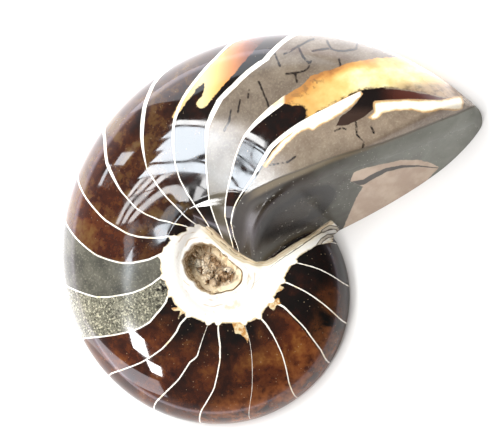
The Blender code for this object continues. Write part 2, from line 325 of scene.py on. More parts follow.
def septum_turns():
    """For each septum, its angle back from the tip at steps of its share of the whorl's radius."""
    shares = np.linspace(0.0, 1.0, SEPTUM_STEPS)
    rows = []
    for pixels in SEPTA:
        plan = to_surface(pixels)
        angle = np.arctan2(plan[:, 1], plan[:, 0])
        turn = np.where(angle < 0.0, angle + FULL_TURN, angle)
        share = np.hypot(plan[:, 0], plan[:, 1]) / whorl_radius(turn)
        order = np.argsort(share)
        share, turn = share[order], turn[order]
        row = np.interp(shares, share, turn)
        past = shares > share[-1]
        end_share = max(share[-1] - share[-3], LEAST_END_SHARE)
        slope = np.clip((turn[-1] - turn[-3]) / end_share, *END_SLOPE_LIMITS)
        row[past] = turn[-1] + END_SLOPE_SHARE * slope * (shares[past] - share[-1])
        rows.append(row)
    rows = np.array(rows)
    for number in range(1, len(rows)):
        rows[number] = np.minimum(rows[number], rows[number - 1] - LEAST_SEPTUM_ANGLE)
    return shares, rows


SEPTUM_SHARES, SEPTUM_TURNS = septum_turns()


def septum_count(x, y, turn):
    """How many septa lie on the older side of each point, with the fraction of the way to the next one."""
    share = np.clip(np.hypot(x, y) / whorl_radius(turn), 0.0, 1.0)
    place = share * (len(SEPTUM_SHARES) - 1)
    low = np.clip(place.astype(int), 0, len(SEPTUM_SHARES) - 2)
    part = place - low
    turns = SEPTUM_TURNS[:, low] * (1.0 - part) + SEPTUM_TURNS[:, low + 1] * part
    turns = np.vstack([turns[0] + ANGLE_BEFORE_FIRST, turns, turns[-1] - ANGLE_AFTER_LAST])
    passed = (turns[1:-1] > turn).sum(0)
    column = np.arange(len(turn))
    older, younger = turns[passed, column], turns[passed + 1, column]
    return passed + np.clip((older - turn) / (older - younger), -1.0, 1.0)


# Outlines of the markings, as pixels of the photograph.
CALLUS = [
    (200, 226), (191, 229), (181, 233), (171, 240), (164, 248), (160.5, 257), (160.5, 270), (164, 280),
    (170, 294), (175, 304), (183, 312), (192, 317), (204, 322), (220, 323), (235, 323), (251, 322),
    (259, 317), (266, 308), (274, 297), (280, 286), (286, 275), (291, 265), (299, 256), (310, 249),
    (320, 243), (334, 238), (340, 229), (331, 220), (322, 226), (310, 235), (295, 243), (283, 251),
    (275, 257), (266, 261), (256, 262), (248, 258), (238, 252), (229, 245), (221, 237), (213, 229),
]
FLAKES = [
    [(231, 320), (235, 333), (240, 334), (245, 338), (248, 343), (249, 336), (245, 329), (243, 320)],
    [(266, 303), (270, 308), (274, 311), (276, 306), (281, 304), (279, 298)],
    [(277, 285), (283, 286), (285, 288), (280, 291), (276, 293)],
    [(170, 308), (175, 311), (180, 311), (179, 315), (178, 319), (182, 314), (187, 313), (184, 306)],
]
SEAM = [
    (190, 218), (203, 223), (213, 229), (221, 237), (229, 245), (238, 252), (248, 258), (256, 262),
    (266, 261), (275, 257), (283, 251), (295, 243), (310, 235), (322, 226), (331, 220), (342, 212),
]
CALLUS_CRACK = [
    (247, 288), (255, 282), (262, 277), (272, 266), (284, 257), (298, 248), (312, 238), (322, 232),
    (344, 226),
]
GOLD_FINGER = [
    (172, 118), (178, 105), (186, 91), (196, 78), (204, 71), (213, 63), (221, 54), (232, 44),
    (248, 37), (270, 31), (262, 42), (250, 55), (240, 67), (229, 79), (217, 93), (207, 105),
    (200, 109), (196, 104), (204, 92), (204, 83), (199, 86), (191, 97), (183, 107), (176, 118),
]
GOLD_SHELL = [
    (280, 99), (291, 92), (301, 86), (311, 76), (319, 73), (330, 70), (346, 64), (362, 60),
    (378, 58), (397, 57), (413, 58), (429, 62), (445, 70), (458, 82), (468, 96), (455, 98),
    (441, 97), (425, 93), (410, 90), (394, 88), (381, 88), (368, 89), (360, 90), (346, 97),
    (336, 102), (326, 107), (314, 115), (305, 120), (306, 110), (303, 106), (292, 105), (284, 104),
]
SLIT = [
    (362, 92), (368, 90), (381, 89), (394, 89), (410, 91), (425, 94), (441, 97), (449, 99),
    (441, 100), (410, 99), (387, 100), (374, 101), (373, 110), (362, 118), (348, 125), (336, 126),
    (340, 117), (350, 110), (359, 100),
]
CREAM_SHELL = [
    (373, 101), (387, 100), (410, 99), (441, 100), (457, 96), (462, 96), (464, 102), (463, 109),
    (456, 111), (441, 110), (425, 113), (410, 110), (394, 111), (382, 113), (379, 118), (373, 120),
    (367, 118), (374, 112), (373, 106),
]
CREAM_LEDGE = [
    (262, 166), (271, 153), (282, 140), (298, 126), (314, 114), (330, 105), (346, 97), (360, 91),
    (363, 94), (353, 106), (341, 114), (329, 121), (318, 127), (313, 131), (308, 129), (298, 134),
    (287, 144), (276, 156), (266, 168),
]
FAN = [
    (350, 181), (354, 172), (362, 169), (378, 165), (401, 160), (419, 160), (431, 163), (439, 167),
    (434, 173), (428, 179), (436, 181), (412, 197), (380, 214), (352, 229), (341, 233), (347, 219),
    (352, 208), (357, 196), (363, 187), (357, 184),
]
FAN_ARC = [(352, 184), (364, 182), (372, 177), (386, 170), (402, 166.5), (419, 166), (438, 168)]
END_OVAL_CENTRE = (297, 212)
END_OVAL_SIZE = (44, 15)
END_OVAL_TURN = math.radians(-31)
CREST_BAND = [
    (222, 262), (231, 236), (232, 222), (236, 207), (243, 196), (252, 190), (277, 178), (304, 168),
    (330, 158), (357, 150), (383, 142), (410, 132), (437, 121), (456, 114), (468, 108), (490, 100),
]
# Dark cracks in the matrix.
CRACKS = [
    [(259, 82), (263, 92), (267, 101), (270, 111)],
    [(249, 90), (248, 98)],
    [(284, 54), (290, 51), (299, 46), (308, 41), (314, 39)],
    [(298, 46), (303, 57), (310, 64)],
    [(286, 74), (295, 73), (304, 71), (308, 68), (311, 61)],
    [(295, 73), (297, 82)],
    [(327, 41), (331, 49), (338, 51), (345, 51), (356, 49), (358, 39)],
    [(312, 51), (331, 48)],
    [(339, 59), (341, 69), (347, 75)],
    [(353, 112), (356, 123), (357, 135), (364, 143), (362, 151), (356, 157)],
    [(270, 165), (288, 162), (296, 156)],
    [(290, 178), (306, 178), (323, 172)],
    [(442, 119), (445, 127)],
    [(426, 128), (430, 133)],
    [(335, 131), (341, 128), (347, 129)],
    [(240, 100), (238, 112)],
    [(231, 110), (229, 122), (224, 131)],
    [(371, 126), (374, 133)],
    [(274, 52), (280, 66)],
]
GOLD_TOP = [
    (280, 99), (291, 92), (301, 86), (311, 76), (330, 70), (346, 64), (378, 58), (413, 58),
    (445, 70), (468, 96),
]
HOOK = [(318, 246), (322, 240), (328, 236), (335, 235), (343, 238)]
HOOK_INNER = [(323, 231), (330, 227), (337, 228), (341, 234)]
# What each field of the polished surface is drawn with: closed outlines, lines with a side, and plain lines.
OUTLINE_FIELDS = {
    "callus": [CALLUS], "flake": FLAKES, "gold": [GOLD_FINGER, GOLD_SHELL], "slit": [SLIT],
    "cream": [CREAM_SHELL, CREAM_LEDGE], "fan": [FAN],
}
SIDED_LINE_FIELDS = {
    "seam": SEAM, "crack": CALLUS_CRACK, "fan_arc": FAN_ARC, "gold_top": GOLD_TOP, "crest_band": CREST_BAND,
}
LINE_FIELDS = {"cracks": CRACKS, "hook": [HOOK, HOOK_INNER]}
PIXELS_PER_FIELD_UNIT = 100.0
FARTHEST_FROM_EDGE = 40.0
FARTHEST_FROM_HOLLOW = 9.0


def line_offset(pixels, line):
    """Distance to an open line, positive on its right hand as it is drawn on the photograph."""
    nearest = np.full(len(pixels), np.inf)
    signed = np.zeros(len(pixels))
    for start, end in zip(np.array(line, float), np.array(line[1:], float)):
        step = end - start
        away = pixels - start
        share = np.clip(away @ step / (step @ step), 0.0, 1.0)
        gap = np.linalg.norm(away - share[:, None] * step, axis=1)
        side = step[0] * away[:, 1] - step[1] * away[:, 0]
        closer = gap < nearest
        nearest = np.where(closer, gap, nearest)
        signed = np.where(closer, np.where(side >= 0.0, gap, -gap), signed)
    return signed


def depth_inside(pixels, outline):
    """Distance to a closed outline, positive inside it."""
    closed = outline + outline[:1]
    inside = np.zeros(len(pixels), bool)
    for start, end in zip(closed, closed[1:]):
        crosses = (start[1] > pixels[:, 1]) != (end[1] > pixels[:, 1])
        rise = end[1] - start[1]
        meets = start[0] + (pixels[:, 1] - start[1]) * (end[0] - start[0]) / (rise if rise else 1.0)
        inside ^= crosses & (pixels[:, 0] < meets)
    gap = np.abs(line_offset(pixels, closed))
    return np.where(inside, gap, -gap)


def oval_depth(pixels):
    """How deep each pixel lies inside the oval on the ground end: 1 at its middle, 0 on its edge."""
    away = pixels - np.array(END_OVAL_CENTRE)
    cosine, sine = math.cos(END_OVAL_TURN), math.sin(END_OVAL_TURN)
    along = away[:, 0] * cosine + away[:, 1] * sine
    across = away[:, 1] * cosine - away[:, 0] * sine
    return 1.0 - np.hypot(along / END_OVAL_SIZE[0], across / END_OVAL_SIZE[1])


# The mesh: lines run from the hollow's middle out to the foot of the shell, closest along the ground end.
LINE_SPANS = [(-17.0, -3.5, 110), (-3.5, 125.0, 290), (125.0, 343.0, 200)]
HOLLOW_RINGS = 9
HOLLOW_WALL_RINGS = 8
UMBILICUS_RINGS = 34
FLANK_RINGS = 110
UMBILICUS_REACH = 20.0
UMBILICUS_SHARE = 0.62
RIM_CROWDING = 1.7
# The shell's foot is looked for at these steps from the hollow's middle, then by halving.
FOOT_FROM = 20.0
FOOT_TO = 95.0
FOOT_STEP = 0.1
FOOT_HALVINGS = 20
BAKE_MARGIN = 0.01


def add_object(name, data):
    made = bpy.data.objects.new(name, data)
    bpy.context.scene.collection.objects.link(made)
    return made


def plan_points(reach, bearings):
    """Points in plan at these distances from the hollow's middle."""
    return HOLLOW_CENTRE[0] + reach * np.cos(bearings), HOLLOW_CENTRE[1] + reach * np.sin(bearings)


def line_bearings():
    spans = [np.linspace(start, end, count, endpoint=False) for start, end, count in LINE_SPANS]
    return np.radians(np.concatenate(spans))


def foot_reach(bearings):
    """Distance from the hollow's middle to the shell's foot along each bearing."""
    steps = np.arange(FOOT_FROM, FOOT_TO, FOOT_STEP)
    stands = plain_height(*plan_points(steps, bearings[:, None])) > 0.0
    inside = steps[stands.shape[1] - 1 - stands[:, ::-1].argmax(1)]
    outside = inside + FOOT_STEP
    for _ in range(FOOT_HALVINGS):
        middle = 0.5 * (inside + outside)
        stands = plain_height(*plan_points(middle, bearings)) > 0.0
        inside = np.where(stands, middle, inside)
        outside = np.where(stands, outside, middle)
    return inside


def plan_grid(bearings):
    """Rings of plan points: inside the hollow, up its wall, over the callus and out to the foot."""
    rim = hollow_rim(bearings)
    foot = foot_reach(bearings)
    callus = np.minimum(UMBILICUS_REACH, UMBILICUS_SHARE * foot)
    reaches = []
    for start, end, rings, crowding in (
        (0.0 * rim, rim - HOLLOW_WALL_WIDTH, HOLLOW_RINGS, 1.0),
        (rim - HOLLOW_WALL_WIDTH, rim, HOLLOW_WALL_RINGS, 1.0),
        (rim, callus, UMBILICUS_RINGS, 1.0), (callus, foot, FLANK_RINGS, RIM_CROWDING),
    ):
        for step in range(1, rings + 1):
            reaches.append(start + (end - start) * (1.0 - (1.0 - step / rings) ** crowding))
    return plan_points(np.array(reaches), bearings)


def grid_mesh(name, x, y, z, upward):
    """A mesh of rings round a middle point. Each ring is closed, and the last one is the foot."""
    rings, lines = x.shape
    middle = np.array([[HOLLOW_CENTRE[0], HOLLOW_CENTRE[1], z[0].mean()]])
    points = np.vstack([np.stack([x.ravel(), y.ravel(), z.ravel()], -1), middle])
    index = np.arange(rings * lines).reshape(rings, lines)
    beyond = np.roll(index, -1, axis=1)
    quads = np.stack([index[:-1], index[1:], beyond[1:], beyond[:-1]], -1).reshape(-1, 4)
    fan = np.stack([np.full(lines, rings * lines), index[0], beyond[0]], -1)
    if not upward:
        quads, fan = quads[:, ::-1], fan[:, ::-1]
    world = (points + AXIS_PLACE) * MM
    mesh = bpy.data.meshes.new(name)
    mesh.from_pydata(world.tolist(), [], quads.tolist() + fan.tolist())
    mesh.shade_smooth()
    return add_object(name, mesh), points


def add_field(mesh, name, values):
    """Stores one number per point, for the material to read."""
    field = mesh.attributes.new(name, "FLOAT", "POINT")
    field.data.foreach_set("value", np.asarray(values, np.float32))


def add_bake_map(mesh):
    """Plan view of the piece as its texture layout."""
    layer = mesh.uv_layers.new(name="OFBake")
    corners = np.zeros(len(mesh.loops), np.int32)
    mesh.loops.foreach_get("vertex_index", corners)
    places = np.zeros(len(mesh.vertices) * 3)
    mesh.vertices.foreach_get("co", places)
    plan = places.reshape(-1, 3)[:, :2]
    low = plan.min(0)
    size = (plan.max(0) - low).max()
    spots = (plan[corners] - low) / size * (1.0 - 2.0 * BAKE_MARGIN) + BAKE_MARGIN
    layer.data.foreach_set("uv", spots.astype(np.float32).ravel())


def add_pixel_fields(mesh, points):
    """Where each point shows in the photograph, for the material to read. The pixels are given back."""
    pixels = to_photo(points)
    add_field(mesh, "pixel_x", pixels[:, 0] / PIXELS_PER_FIELD_UNIT)
    add_field(mesh, "pixel_y", pixels[:, 1] / PIXELS_PER_FIELD_UNIT)
    return pixels


def septum_fields(mesh, x, y, turn):
    """The count of septa, the distance that one count stands for, and half the width of the nearest one."""
    count = septum_count(x, y, turn)
    distance, angle = np.hypot(x, y), np.arctan2(y, x)
    further = distance + COUNT_STEP
    outward = septum_count(further * np.cos(angle), further * np.sin(angle), turn)
    back = septum_count(x, y, turn + COUNT_STEP / np.maximum(distance, 1.0))
    slope = np.hypot(outward - count, back - count) / COUNT_STEP
    nearest = np.clip(np.rint(count).astype(int), 1, len(SEPTA)) - 1
    inner, outer, start = np.array(SEPTUM_WIDTHS).T[:, nearest]
    share = np.clip((distance / whorl_radius(turn) - start) / WIDENING_SHARE, 0.0, 1.0)
    add_field(mesh, "septa", count)
    add_field(mesh, "spacing", 1.0 / np.clip(slope, *COUNT_SLOPE_LIMITS))
    add_field(mesh, "line", inner + (outer - inner) * share)


def paint_top(mesh, points):
    """Every field that the polished surface's material reads."""
    x, y, _ = points.T
    last, before = surface_parts(x, y)
    angle = np.arctan2(y, x)
    turn = np.where(before > last, angle + FULL_TURN, angle)
    septum_fields(mesh, x, y, turn)
    add_field(mesh, "from_edge", np.clip(whorl_radius(turn) - np.hypot(x, y), 0.0, FARTHEST_FROM_EDGE))
    add_field(mesh, "past_hollow", np.clip(past_hollow(x, y), -FARTHEST_FROM_HOLLOW, FARTHEST_FROM_HOLLOW))
    pixels = add_pixel_fields(mesh, points)
    for name, outlines in OUTLINE_FIELDS.items():
        add_field(mesh, name, np.max([depth_inside(pixels, outline) for outline in outlines], axis=0))
    for name, line in SIDED_LINE_FIELDS.items():
        add_field(mesh, name, line_offset(pixels, line))
    for name, lines in LINE_FIELDS.items():
        add_field(mesh, name, np.min([np.abs(line_offset(pixels, line)) for line in lines], axis=0))
    add_field(mesh, "oval", oval_depth(pixels))


def build_top():
    bearings = line_bearings()
    x, y = plan_grid(bearings)
    z = surface_height(x, y)
    z[-1] = 0.0
    made, points = grid_mesh("polished_half", x, y, np.maximum(z, 0.0), True)
    paint_top(made.data, points)
    add_bake_map(made.data)
    return made


# Materials are put together with these helpers.
LIGHT_LEVEL = 1.4
WASHED_OUT = 0.92
SCREEN_GAMMA = 2.2
SCREEN_TOP = 255.0
RANGE_INPUTS = ("Value", "From Min", "From Max", "To Min", "To Max")


def screen(red, green, blue):
    """The surface colour that shows as these screen values, 0 to 255, under this scene's strong light."""
    return tuple((value / SCREEN_TOP) ** SCREEN_GAMMA / LIGHT_LEVEL for value in (red, green, blue)) + (1.0,)


def bright(red, green, blue):
    """A pale surface colour that the strong light is allowed to wash out."""
    return tuple(WASHED_OUT * (value / SCREEN_TOP) ** SCREEN_GAMMA for value in (red, green, blue)) + (1.0,)


class Signal:
    """A number or a colour that varies over the surface. Arithmetic with it adds nodes to its material."""

    def __init__(self, look, socket):
        self.look = look
        self.socket = socket

    def __add__(self, other):
        return self.look.math("ADD", self, other)

    def __sub__(self, other):
        return self.look.math("SUBTRACT", self, other)

    def __mul__(self, other):
        return self.look.math("MULTIPLY", self, other)

    def __abs__(self):
        return self.look.math("ABSOLUTE", self)

    def flipped(self):
        """One where this is nought, and nought where it is one."""
        return self.look.math("SUBTRACT", 1.0, self)

    def most(self, other):
        return self.look.math("MAXIMUM", self, other)

    def rise(self, name):
        """A share that changes smoothly over a named span of this value."""
        return self.look.span(self, *SPANS[name])

    def around(self, name):
        """A share that changes smoothly with the distance from a named middle."""
        middle, *span = AROUND[name]
        return self.look.span(abs(self - middle), *span)

    def painted(self, name, where=1.0):
        """This colour with a named paint over it."""
        cover, colour = PAINTS[name]
        return self.look.mix(where * cover, self, colour)


class Look:
    """A material's node tree, with a method for each kind of node that it uses."""

    def __init__(self, name):
        self.material = bpy.data.materials.new(name)
        self.material.use_nodes = True
        self.tree = self.material.node_tree
        self.shader = self.tree.nodes["Principled BSDF"]
        self.place = self.add("ShaderNodeTexCoord").outputs["Object"]
        self.edge_noise = self.noise(*EDGE_NOISE) - MIDDLE_NOISE
        self.broad_noise = self.noise(*BROAD_NOISE) - MIDDLE_NOISE

    def add(self, kind):
        return self.tree.nodes.new(kind)

    def feed(self, socket, value):
        if isinstance(value, Signal):
            value = value.socket
        if isinstance(value, bpy.types.NodeSocket):
            self.tree.links.new(value, socket)
        else:
            socket.default_value = value

    def set_shader(self, **inputs):
        """Feeds the shader's inputs, named with underscores for their spaces."""
        for name, value in inputs.items():
            self.feed(self.shader.inputs[name.replace("_", " ")], value)

    def field(self, name):
        node = self.add("ShaderNodeAttribute")
        node.attribute_name = name
        return Signal(self, node.outputs["Fac"])

    def math(self, operation, first, second=0.0):
        node = self.add("ShaderNodeMath")
        node.operation = operation
        self.feed(node.inputs[0], first)
        self.feed(node.inputs[1], second)
        return Signal(self, node.outputs[0])

    def span(self, value, start, end, low=0.0, high=1.0):
        """Goes smoothly from low to high as the value goes from start to end."""
        node = self.add("ShaderNodeMapRange")
        node.interpolation_type = "SMOOTHSTEP"
        for name, setting in zip(RANGE_INPUTS, (value, start, end, low, high)):
            self.feed(node.inputs[name], setting)
        return Signal(self, node.outputs["Result"])

    def mix(self, share, first, second):
        node = self.add("ShaderNodeMix")
        node.data_type = "RGBA"
        colours = [socket for socket in node.inputs if socket.type == "RGBA"]
        self.feed(node.inputs[0], share)
        self.feed(colours[0], first)
        self.feed(colours[1], second)
        return Signal(self, next(socket for socket in node.outputs if socket.type == "RGBA"))

    def noise(self, size, detail, roughness, distortion, seed):
        """Smooth noise whose lumps are about this many millimetres across."""
        node = self.add("ShaderNodeTexNoise")
        node.noise_dimensions = "4D"
        names = ("Vector", "W", "Scale", "Detail", "Roughness", "Distortion")
        for name, value in zip(names, (self.place, seed, 1.0 / (size * MM), detail, roughness, distortion)):
            self.feed(node.inputs[name], value)
        return Signal(self, node.outputs["Fac"])

    def patches(self, name):
        """A share that comes and goes with a named noise."""
        pattern, span = PATCHES[name]
        return self.span(self.noise(*pattern), *span)

    def mottled(self, name):
        """Two colours in the patches of the same name."""
        return self.mix(self.patches(name), *MOTTLES[name])

    def cells(self, size, warp=0.0, warp_size=1.0, feature="F1", output="Distance"):
        """Cells about this many millimetres across, bent by noise where warp is given in millimetres."""
        node = self.add("ShaderNodeTexVoronoi")
        node.feature = feature
        place = self.place
        if warp:
            wobble = self.add("ShaderNodeTexNoise")
            shift = self.add("ShaderNodeVectorMath")
            shift.operation = "MULTIPLY_ADD"
            self.feed(wobble.inputs["Vector"], self.place)
            self.feed(wobble.inputs["Scale"], 1.0 / (warp_size * MM))
            self.feed(wobble.inputs["Detail"], CELL_WARP_DETAIL)
            for socket, value in zip(shift.inputs, (wobble.outputs["Color"], (warp * MM,) * 3, self.place)):
                self.feed(socket, value)
            place = shift.outputs[0]
        self.feed(node.inputs["Vector"], place)
        self.feed(node.inputs["Scale"], 1.0 / (size * MM))
        return Signal(self, node.outputs[output])

    def ramp(self, value, stops, steps=False):
        """A colour for each part of the range 0 to 1. With steps it changes at once."""
        node = self.add("ShaderNodeValToRGB")
        node.color_ramp.interpolation = "CONSTANT" if steps else "LINEAR"
        points = node.color_ramp.elements
        points[0].position, points[0].color = stops[0]
        points[1].position, points[1].color = stops[-1]
        for position, colour in stops[1:-1]:
            points.new(position).color = colour
        self.feed(node.inputs["Fac"], value)
        return Signal(self, node.outputs["Color"])

    def bump(self, height, depth):
        node = self.add("ShaderNodeBump")
        node.inputs["Distance"].default_value = depth * MM
        self.feed(node.inputs["Height"], height)
        return node.outputs["Normal"]

    def ragged(self, name, value=None):
        """A field, or another value, that wanders by the named amount in small lumps."""
        return (value or self.field(name)) + self.edge_noise * RAGGED[name]

    def drifting(self, name, value):
        """A value that wanders by the named amount in broad lumps."""
        return value + self.broad_noise * DRIFTING[name]


# What fills each chamber, counted as the septa are: 0 is older than the first septum.
# Each row is one chamber: how much of it is matrix, how coarse the matrix grains are, and the matrix colour.
CALCITE = (0.0, 0.0, (120, 110, 95))
CHAMBERS = [CALCITE] * 10 + [
    (1.0, 1.0, (128, 126, 108)),
    (1.0, 0.15, (80, 80, 72)),
    CALCITE, CALCITE, CALCITE, CALCITE,
    (0.0, 0.0, (40, 30, 28)),
    (1.0, 0.12, (132, 116, 100)),
    (0.0, 0.0, (30, 28, 28)),
    (1.0, 0.15, (154, 134, 114)),
]
# How dark the crystal in each chamber is, 0 to 1.
CHAMBER_SHADE = [
    0.9, 0.9, 1.1, 1.3, 0.15, 0.35, 0.65, 0.6, 0.5, 0.4,
    0.4, 0.4, 0.25, 0.45, 0.6, 0.75, 1.5, 0.5, 1.5, 0.5,
]

# Noise: the size of its lumps in millimetres, its detail, roughness and distortion, and its seed.
MIDDLE_NOISE = 0.5
EDGE_NOISE = (1.6, 4.0, 0.65, 0.0, 21.0)
BROAD_NOISE = (5.0, 3.0, 0.6, 0.0, 22.0)
CALCITE_CLOUD = (8.0, 3.0, 0.55, 0.6, 0.0)
CALCITE_GRAIN = (1.8, 4.0, 0.62, 0.3, 3.0)
CALCITE_CLOUD_SHARE = 0.62
END_CLOUD = (6.0, 4.0, 0.6, 0.3, 71.0)
SOFT_WAVES = (11.0, 1.0, 0.55, 0.0, 95.0)
CALLUS_GRIT = (0.8, 3.0, 0.55, 0.0, 96.0)
CRUST_CLOUD = (1.0, 4.0, 0.65, 0.4, 0.0)
CRUST_RELIEF = (0.35, 3.0, 0.7, 0.0, 8.0)
# Cells: their size in millimetres, and how far and how finely they are bent.
SPARKLE_CELLS = (1.1,)
SPECK_CELLS = (0.9,)
VEIN_CELLS = (9.0, 7.0, 6.0)
CRUST_CELLS = (2.0, 1.2, 2.0)
CELL_WARP_DETAIL = 4.0
# Patches: a noise, and the span of it over which they appear.
PATCHES = {
    "matrix_cloud": ((5.0, 4.0, 0.6, 0.0, 7.0), (0.35, 0.68)),
    "dark_grain": ((0.6, 2.0, 0.75, 0.0, 9.0), (0.47, 0.40)),
    "light_grain": ((0.6, 2.0, 0.75, 0.0, 9.0), (0.55, 0.63)),
    "painted_sparkle": ((4.0, 3.0, 0.55, 0.0, 32.0), (0.47, 0.55)),
    "pocket": ((2.2, 4.0, 0.7, 0.0, 33.0), (0.54, 0.60)),
    "crack": ((3.0, 3.0, 0.55, 0.0, 31.0), (0.32, 0.40)),
    "soot": ((1.6, 4.0, 0.7, 0.0, 43.0), (0.50, 0.60)),
    "torn": ((1.2, 3.0, 0.7, 0.0, 45.0), (0.44, 0.54)),
    "worn": ((2.4, 4.0, 0.6, 0.0, 46.0), (0.40, 0.60)),
    "ivory": ((4.0, 3.0, 0.55, 0.0, 61.0), (0.50, 0.72)),
    "sawn_ivory": ((4.0, 3.0, 0.55, 0.0, 61.0), (0.40, 0.66)),
    "speck": ((5.0, 3.0, 0.55, 0.0, 72.0), (0.46, 0.58)),
    "fan": ((5.0, 4.0, 0.55, 0.0, 73.0), (0.38, 0.64)),
    "stain": ((3.4, 4.0, 0.65, 0.6, 84.0), (0.54, 0.66)),
    "stained_part": ((12.0, 3.0, 0.55, 0.0, 85.0), (0.44, 0.56)),
    "terrace": ((5.0, 3.0, 0.55, 0.0, 86.0), (0.44, 0.60)),
    "split": ((2.6, 3.0, 0.55, 0.0, 87.0), (0.42, 0.52)),
    "flake": ((1.6, 3.0, 0.6, 0.0, 88.0), (0.42, 0.58)),
    "wall": ((0.9, 3.0, 0.55, 0.0, 81.0), (0.4, 0.62)),
    "polish": ((3.0, 4.0, 0.55, 0.0, 91.0), (0.3, 0.7, 0.02, 0.07)),
    "sawn_polish": ((3.0, 4.0, 0.55, 0.0, 91.0), (0.3, 0.7, 0.12, 0.24)),
    "crust_hole": ((0.7, 3.0, 0.55, 0.0, 5.0), (0.42, 0.36)),
}
MOTTLES = {
    "worn": (screen(94, 78, 64), screen(176, 148, 114)),
    "ivory": (bright(255, 251, 238), bright(246, 222, 176)),
    "sawn_ivory": (screen(252, 242, 222), screen(236, 204, 150)),
    "fan": (screen(202, 176, 152), screen(224, 200, 174)),
    "flake": (screen(206, 146, 78), screen(248, 228, 182)),
    "wall": (screen(190, 150, 100), bright(255, 238, 204)),
}
# How far outlines wander, in the units of what they are drawn in, in small lumps and in broad ones.
RAGGED = {
    "cracks": 2.4, "gold": 5.0, "slit": 3.0, "cream": 3.2, "septum": 0.10, "fan": 2.5, "fan_arc": 1.5,
    "crest_band": 1.6, "callus": 4.0, "split": 3.0, "crack": 2.2, "hook": 1.2, "flake": 4.0,
    "past_hollow": 0.9, "sawn_septum": 0.12, "from_wall": 0.2,
}
DRIFTING = {
    "gold_top": 5.0, "glow": 0.8, "cream": 0.7, "callus": 1.2, "chalk": 0.8, "terrace": 1.4, "layers": 7.0,
}
# Paints: how much of what lies under them they cover, and their colour.
PAINTS = {
    "matrix_shadow": (0.25, screen(70, 66, 56)),
    "matrix_light": (0.12, screen(214, 206, 180)),
    "dark_grain": (0.75, screen(40, 38, 30)),
    "light_grain": (0.85, screen(228, 222, 190)),
    "olive": (1.0, screen(98, 80, 46)),
    "lit": (0.7, screen(176, 106, 60)),
    # Painted sparkles: small pale specks standing for glints in the polished calcite.
    "painted_sparkle": (0.5, screen(214, 188, 150)),
    "pocket": (1.0, screen(30, 26, 20)),
    # Painted shade: the matrix of the last chambers darkens towards the umbilicus.
    "painted_matrix_shade": (1.0, screen(70, 66, 50)),
    "crack": (1.0, screen(46, 38, 32)),
    "soot": (0.85, screen(96, 84, 68)),
    "gold_left": (1.0, screen(222, 156, 78)),
    "gold_right": (1.0, screen(206, 154, 106)),
    "torn": (0.85, screen(84, 66, 46)),
    # Painted shade of the open slit, paler at its lower tail.
    "slit_shade_tail": (1.0, screen(64, 47, 39)),
    "speck": (0.6, screen(208, 206, 192)),
    "oval": (0.85, screen(26, 20, 16)),
    "fan_arc": (1.0, screen(78, 72, 64)),
    "crest": (0.72, screen(126, 110, 82)),
    "crest_line": (0.5, screen(72, 60, 44)),
    "stain": (0.55, screen(248, 222, 172)),
    "terrace": (0.6, screen(214, 176, 120)),
    "split": (0.8, screen(88, 62, 42)),
    "callus_crack": (1.0, screen(66, 52, 40)),
    # Painted shadow beside a raised fold that the mesh doesn't have.
    "shadowed_fold": (1.0, screen(96, 80, 62)),
    "fold_lip": (1.0, screen(226, 216, 196)),
    "hollow": (1.0, bright(246, 224, 184)),
    "vein": (1.0, screen(52, 42, 36)),
    "tube": (1.0, screen(96, 66, 44)),
    "crust_hole": (1.0, screen(40, 26, 16)),
    # Painted shade in the crevices between crystals.
    "crevice_shade": (0.55, screen(64, 40, 24)),
    "crust_rim": (0.85, bright(255, 236, 200)),
    "spike": (0.5, screen(136, 106, 72)),
}
WORN_COVER = 0.85
# Painted shade inside the open slit: darkest at its left, browner to its right.
SLIT_SHADE_COLOURS = (screen(24, 15, 14), screen(88, 44, 32))
SAWN_MATRIX_COLOURS = (screen(132, 128, 116), screen(150, 134, 120))
WARM_CALCITE = [
    (0.36, screen(44, 16, 10)), (0.46, screen(76, 35, 18)), (0.53, screen(102, 52, 25)),
    (0.60, screen(128, 76, 36)), (0.70, screen(160, 110, 56)),
]
DARK_CALCITE = [
    (0.38, screen(8, 5, 5)), (0.50, screen(22, 10, 8)), (0.60, screen(44, 20, 12)),
    (0.72, screen(84, 48, 26)),
]
GOLD_COLOURS = [
    (0.0, screen(176, 120, 70)), (0.14, screen(214, 152, 84)), (0.34, screen(238, 186, 104)),
    (0.58, screen(250, 218, 136)), (0.90, bright(255, 242, 194)),
]
FINGER_COLOURS = [
    (0.0, screen(240, 200, 136)), (0.22, screen(252, 232, 172)), (0.42, screen(250, 204, 124)),
    (0.62, screen(226, 148, 84)), (0.85, screen(140, 78, 50)), (1.0, screen(60, 34, 30)),
]
CREAM_COLOURS = [
    (0.02, screen(214, 170, 116)), (0.16, screen(244, 220, 172)), (0.34, bright(255, 244, 214)),
    (1.0, bright(255, 250, 234)),
]
END_COLOURS = [
    (0.10, screen(34, 24, 16)), (0.40, screen(60, 52, 40)), (0.60, screen(100, 100, 88)),
    (0.85, screen(136, 138, 126)), (1.0, screen(160, 162, 150)),
]
CHALK_COLOURS = [
    (0.0, screen(248, 222, 172)), (0.10, screen(254, 242, 212)), (0.24, bright(255, 251, 240)),
    (1.0, bright(255, 253, 248)),
]
LAYER_COLOURS = [
    (0.0, screen(150, 126, 96)), (0.06, screen(226, 206, 168)), (0.20, screen(240, 222, 184)),
    (0.27, screen(222, 190, 142)), (0.33, screen(250, 238, 208)), (0.50, screen(236, 214, 172)),
    (0.62, bright(254, 248, 230)), (1.0, bright(255, 252, 244)),
]
CRUST_TAN = [
    (0.30, screen(104, 72, 46)), (0.40, screen(184, 148, 110)), (0.50, screen(228, 200, 162)),
    (0.62, bright(246, 230, 204)),
]
CRUST_GREEN = [(0.30, screen(84, 86, 76)), (0.46, screen(158, 164, 150)), (0.60, bright(214, 222, 208))]
CRUST_BROWN = [(0.30, screen(84, 54, 30)), (0.42, screen(176, 130, 80)), (0.58, bright(226, 190, 138))]
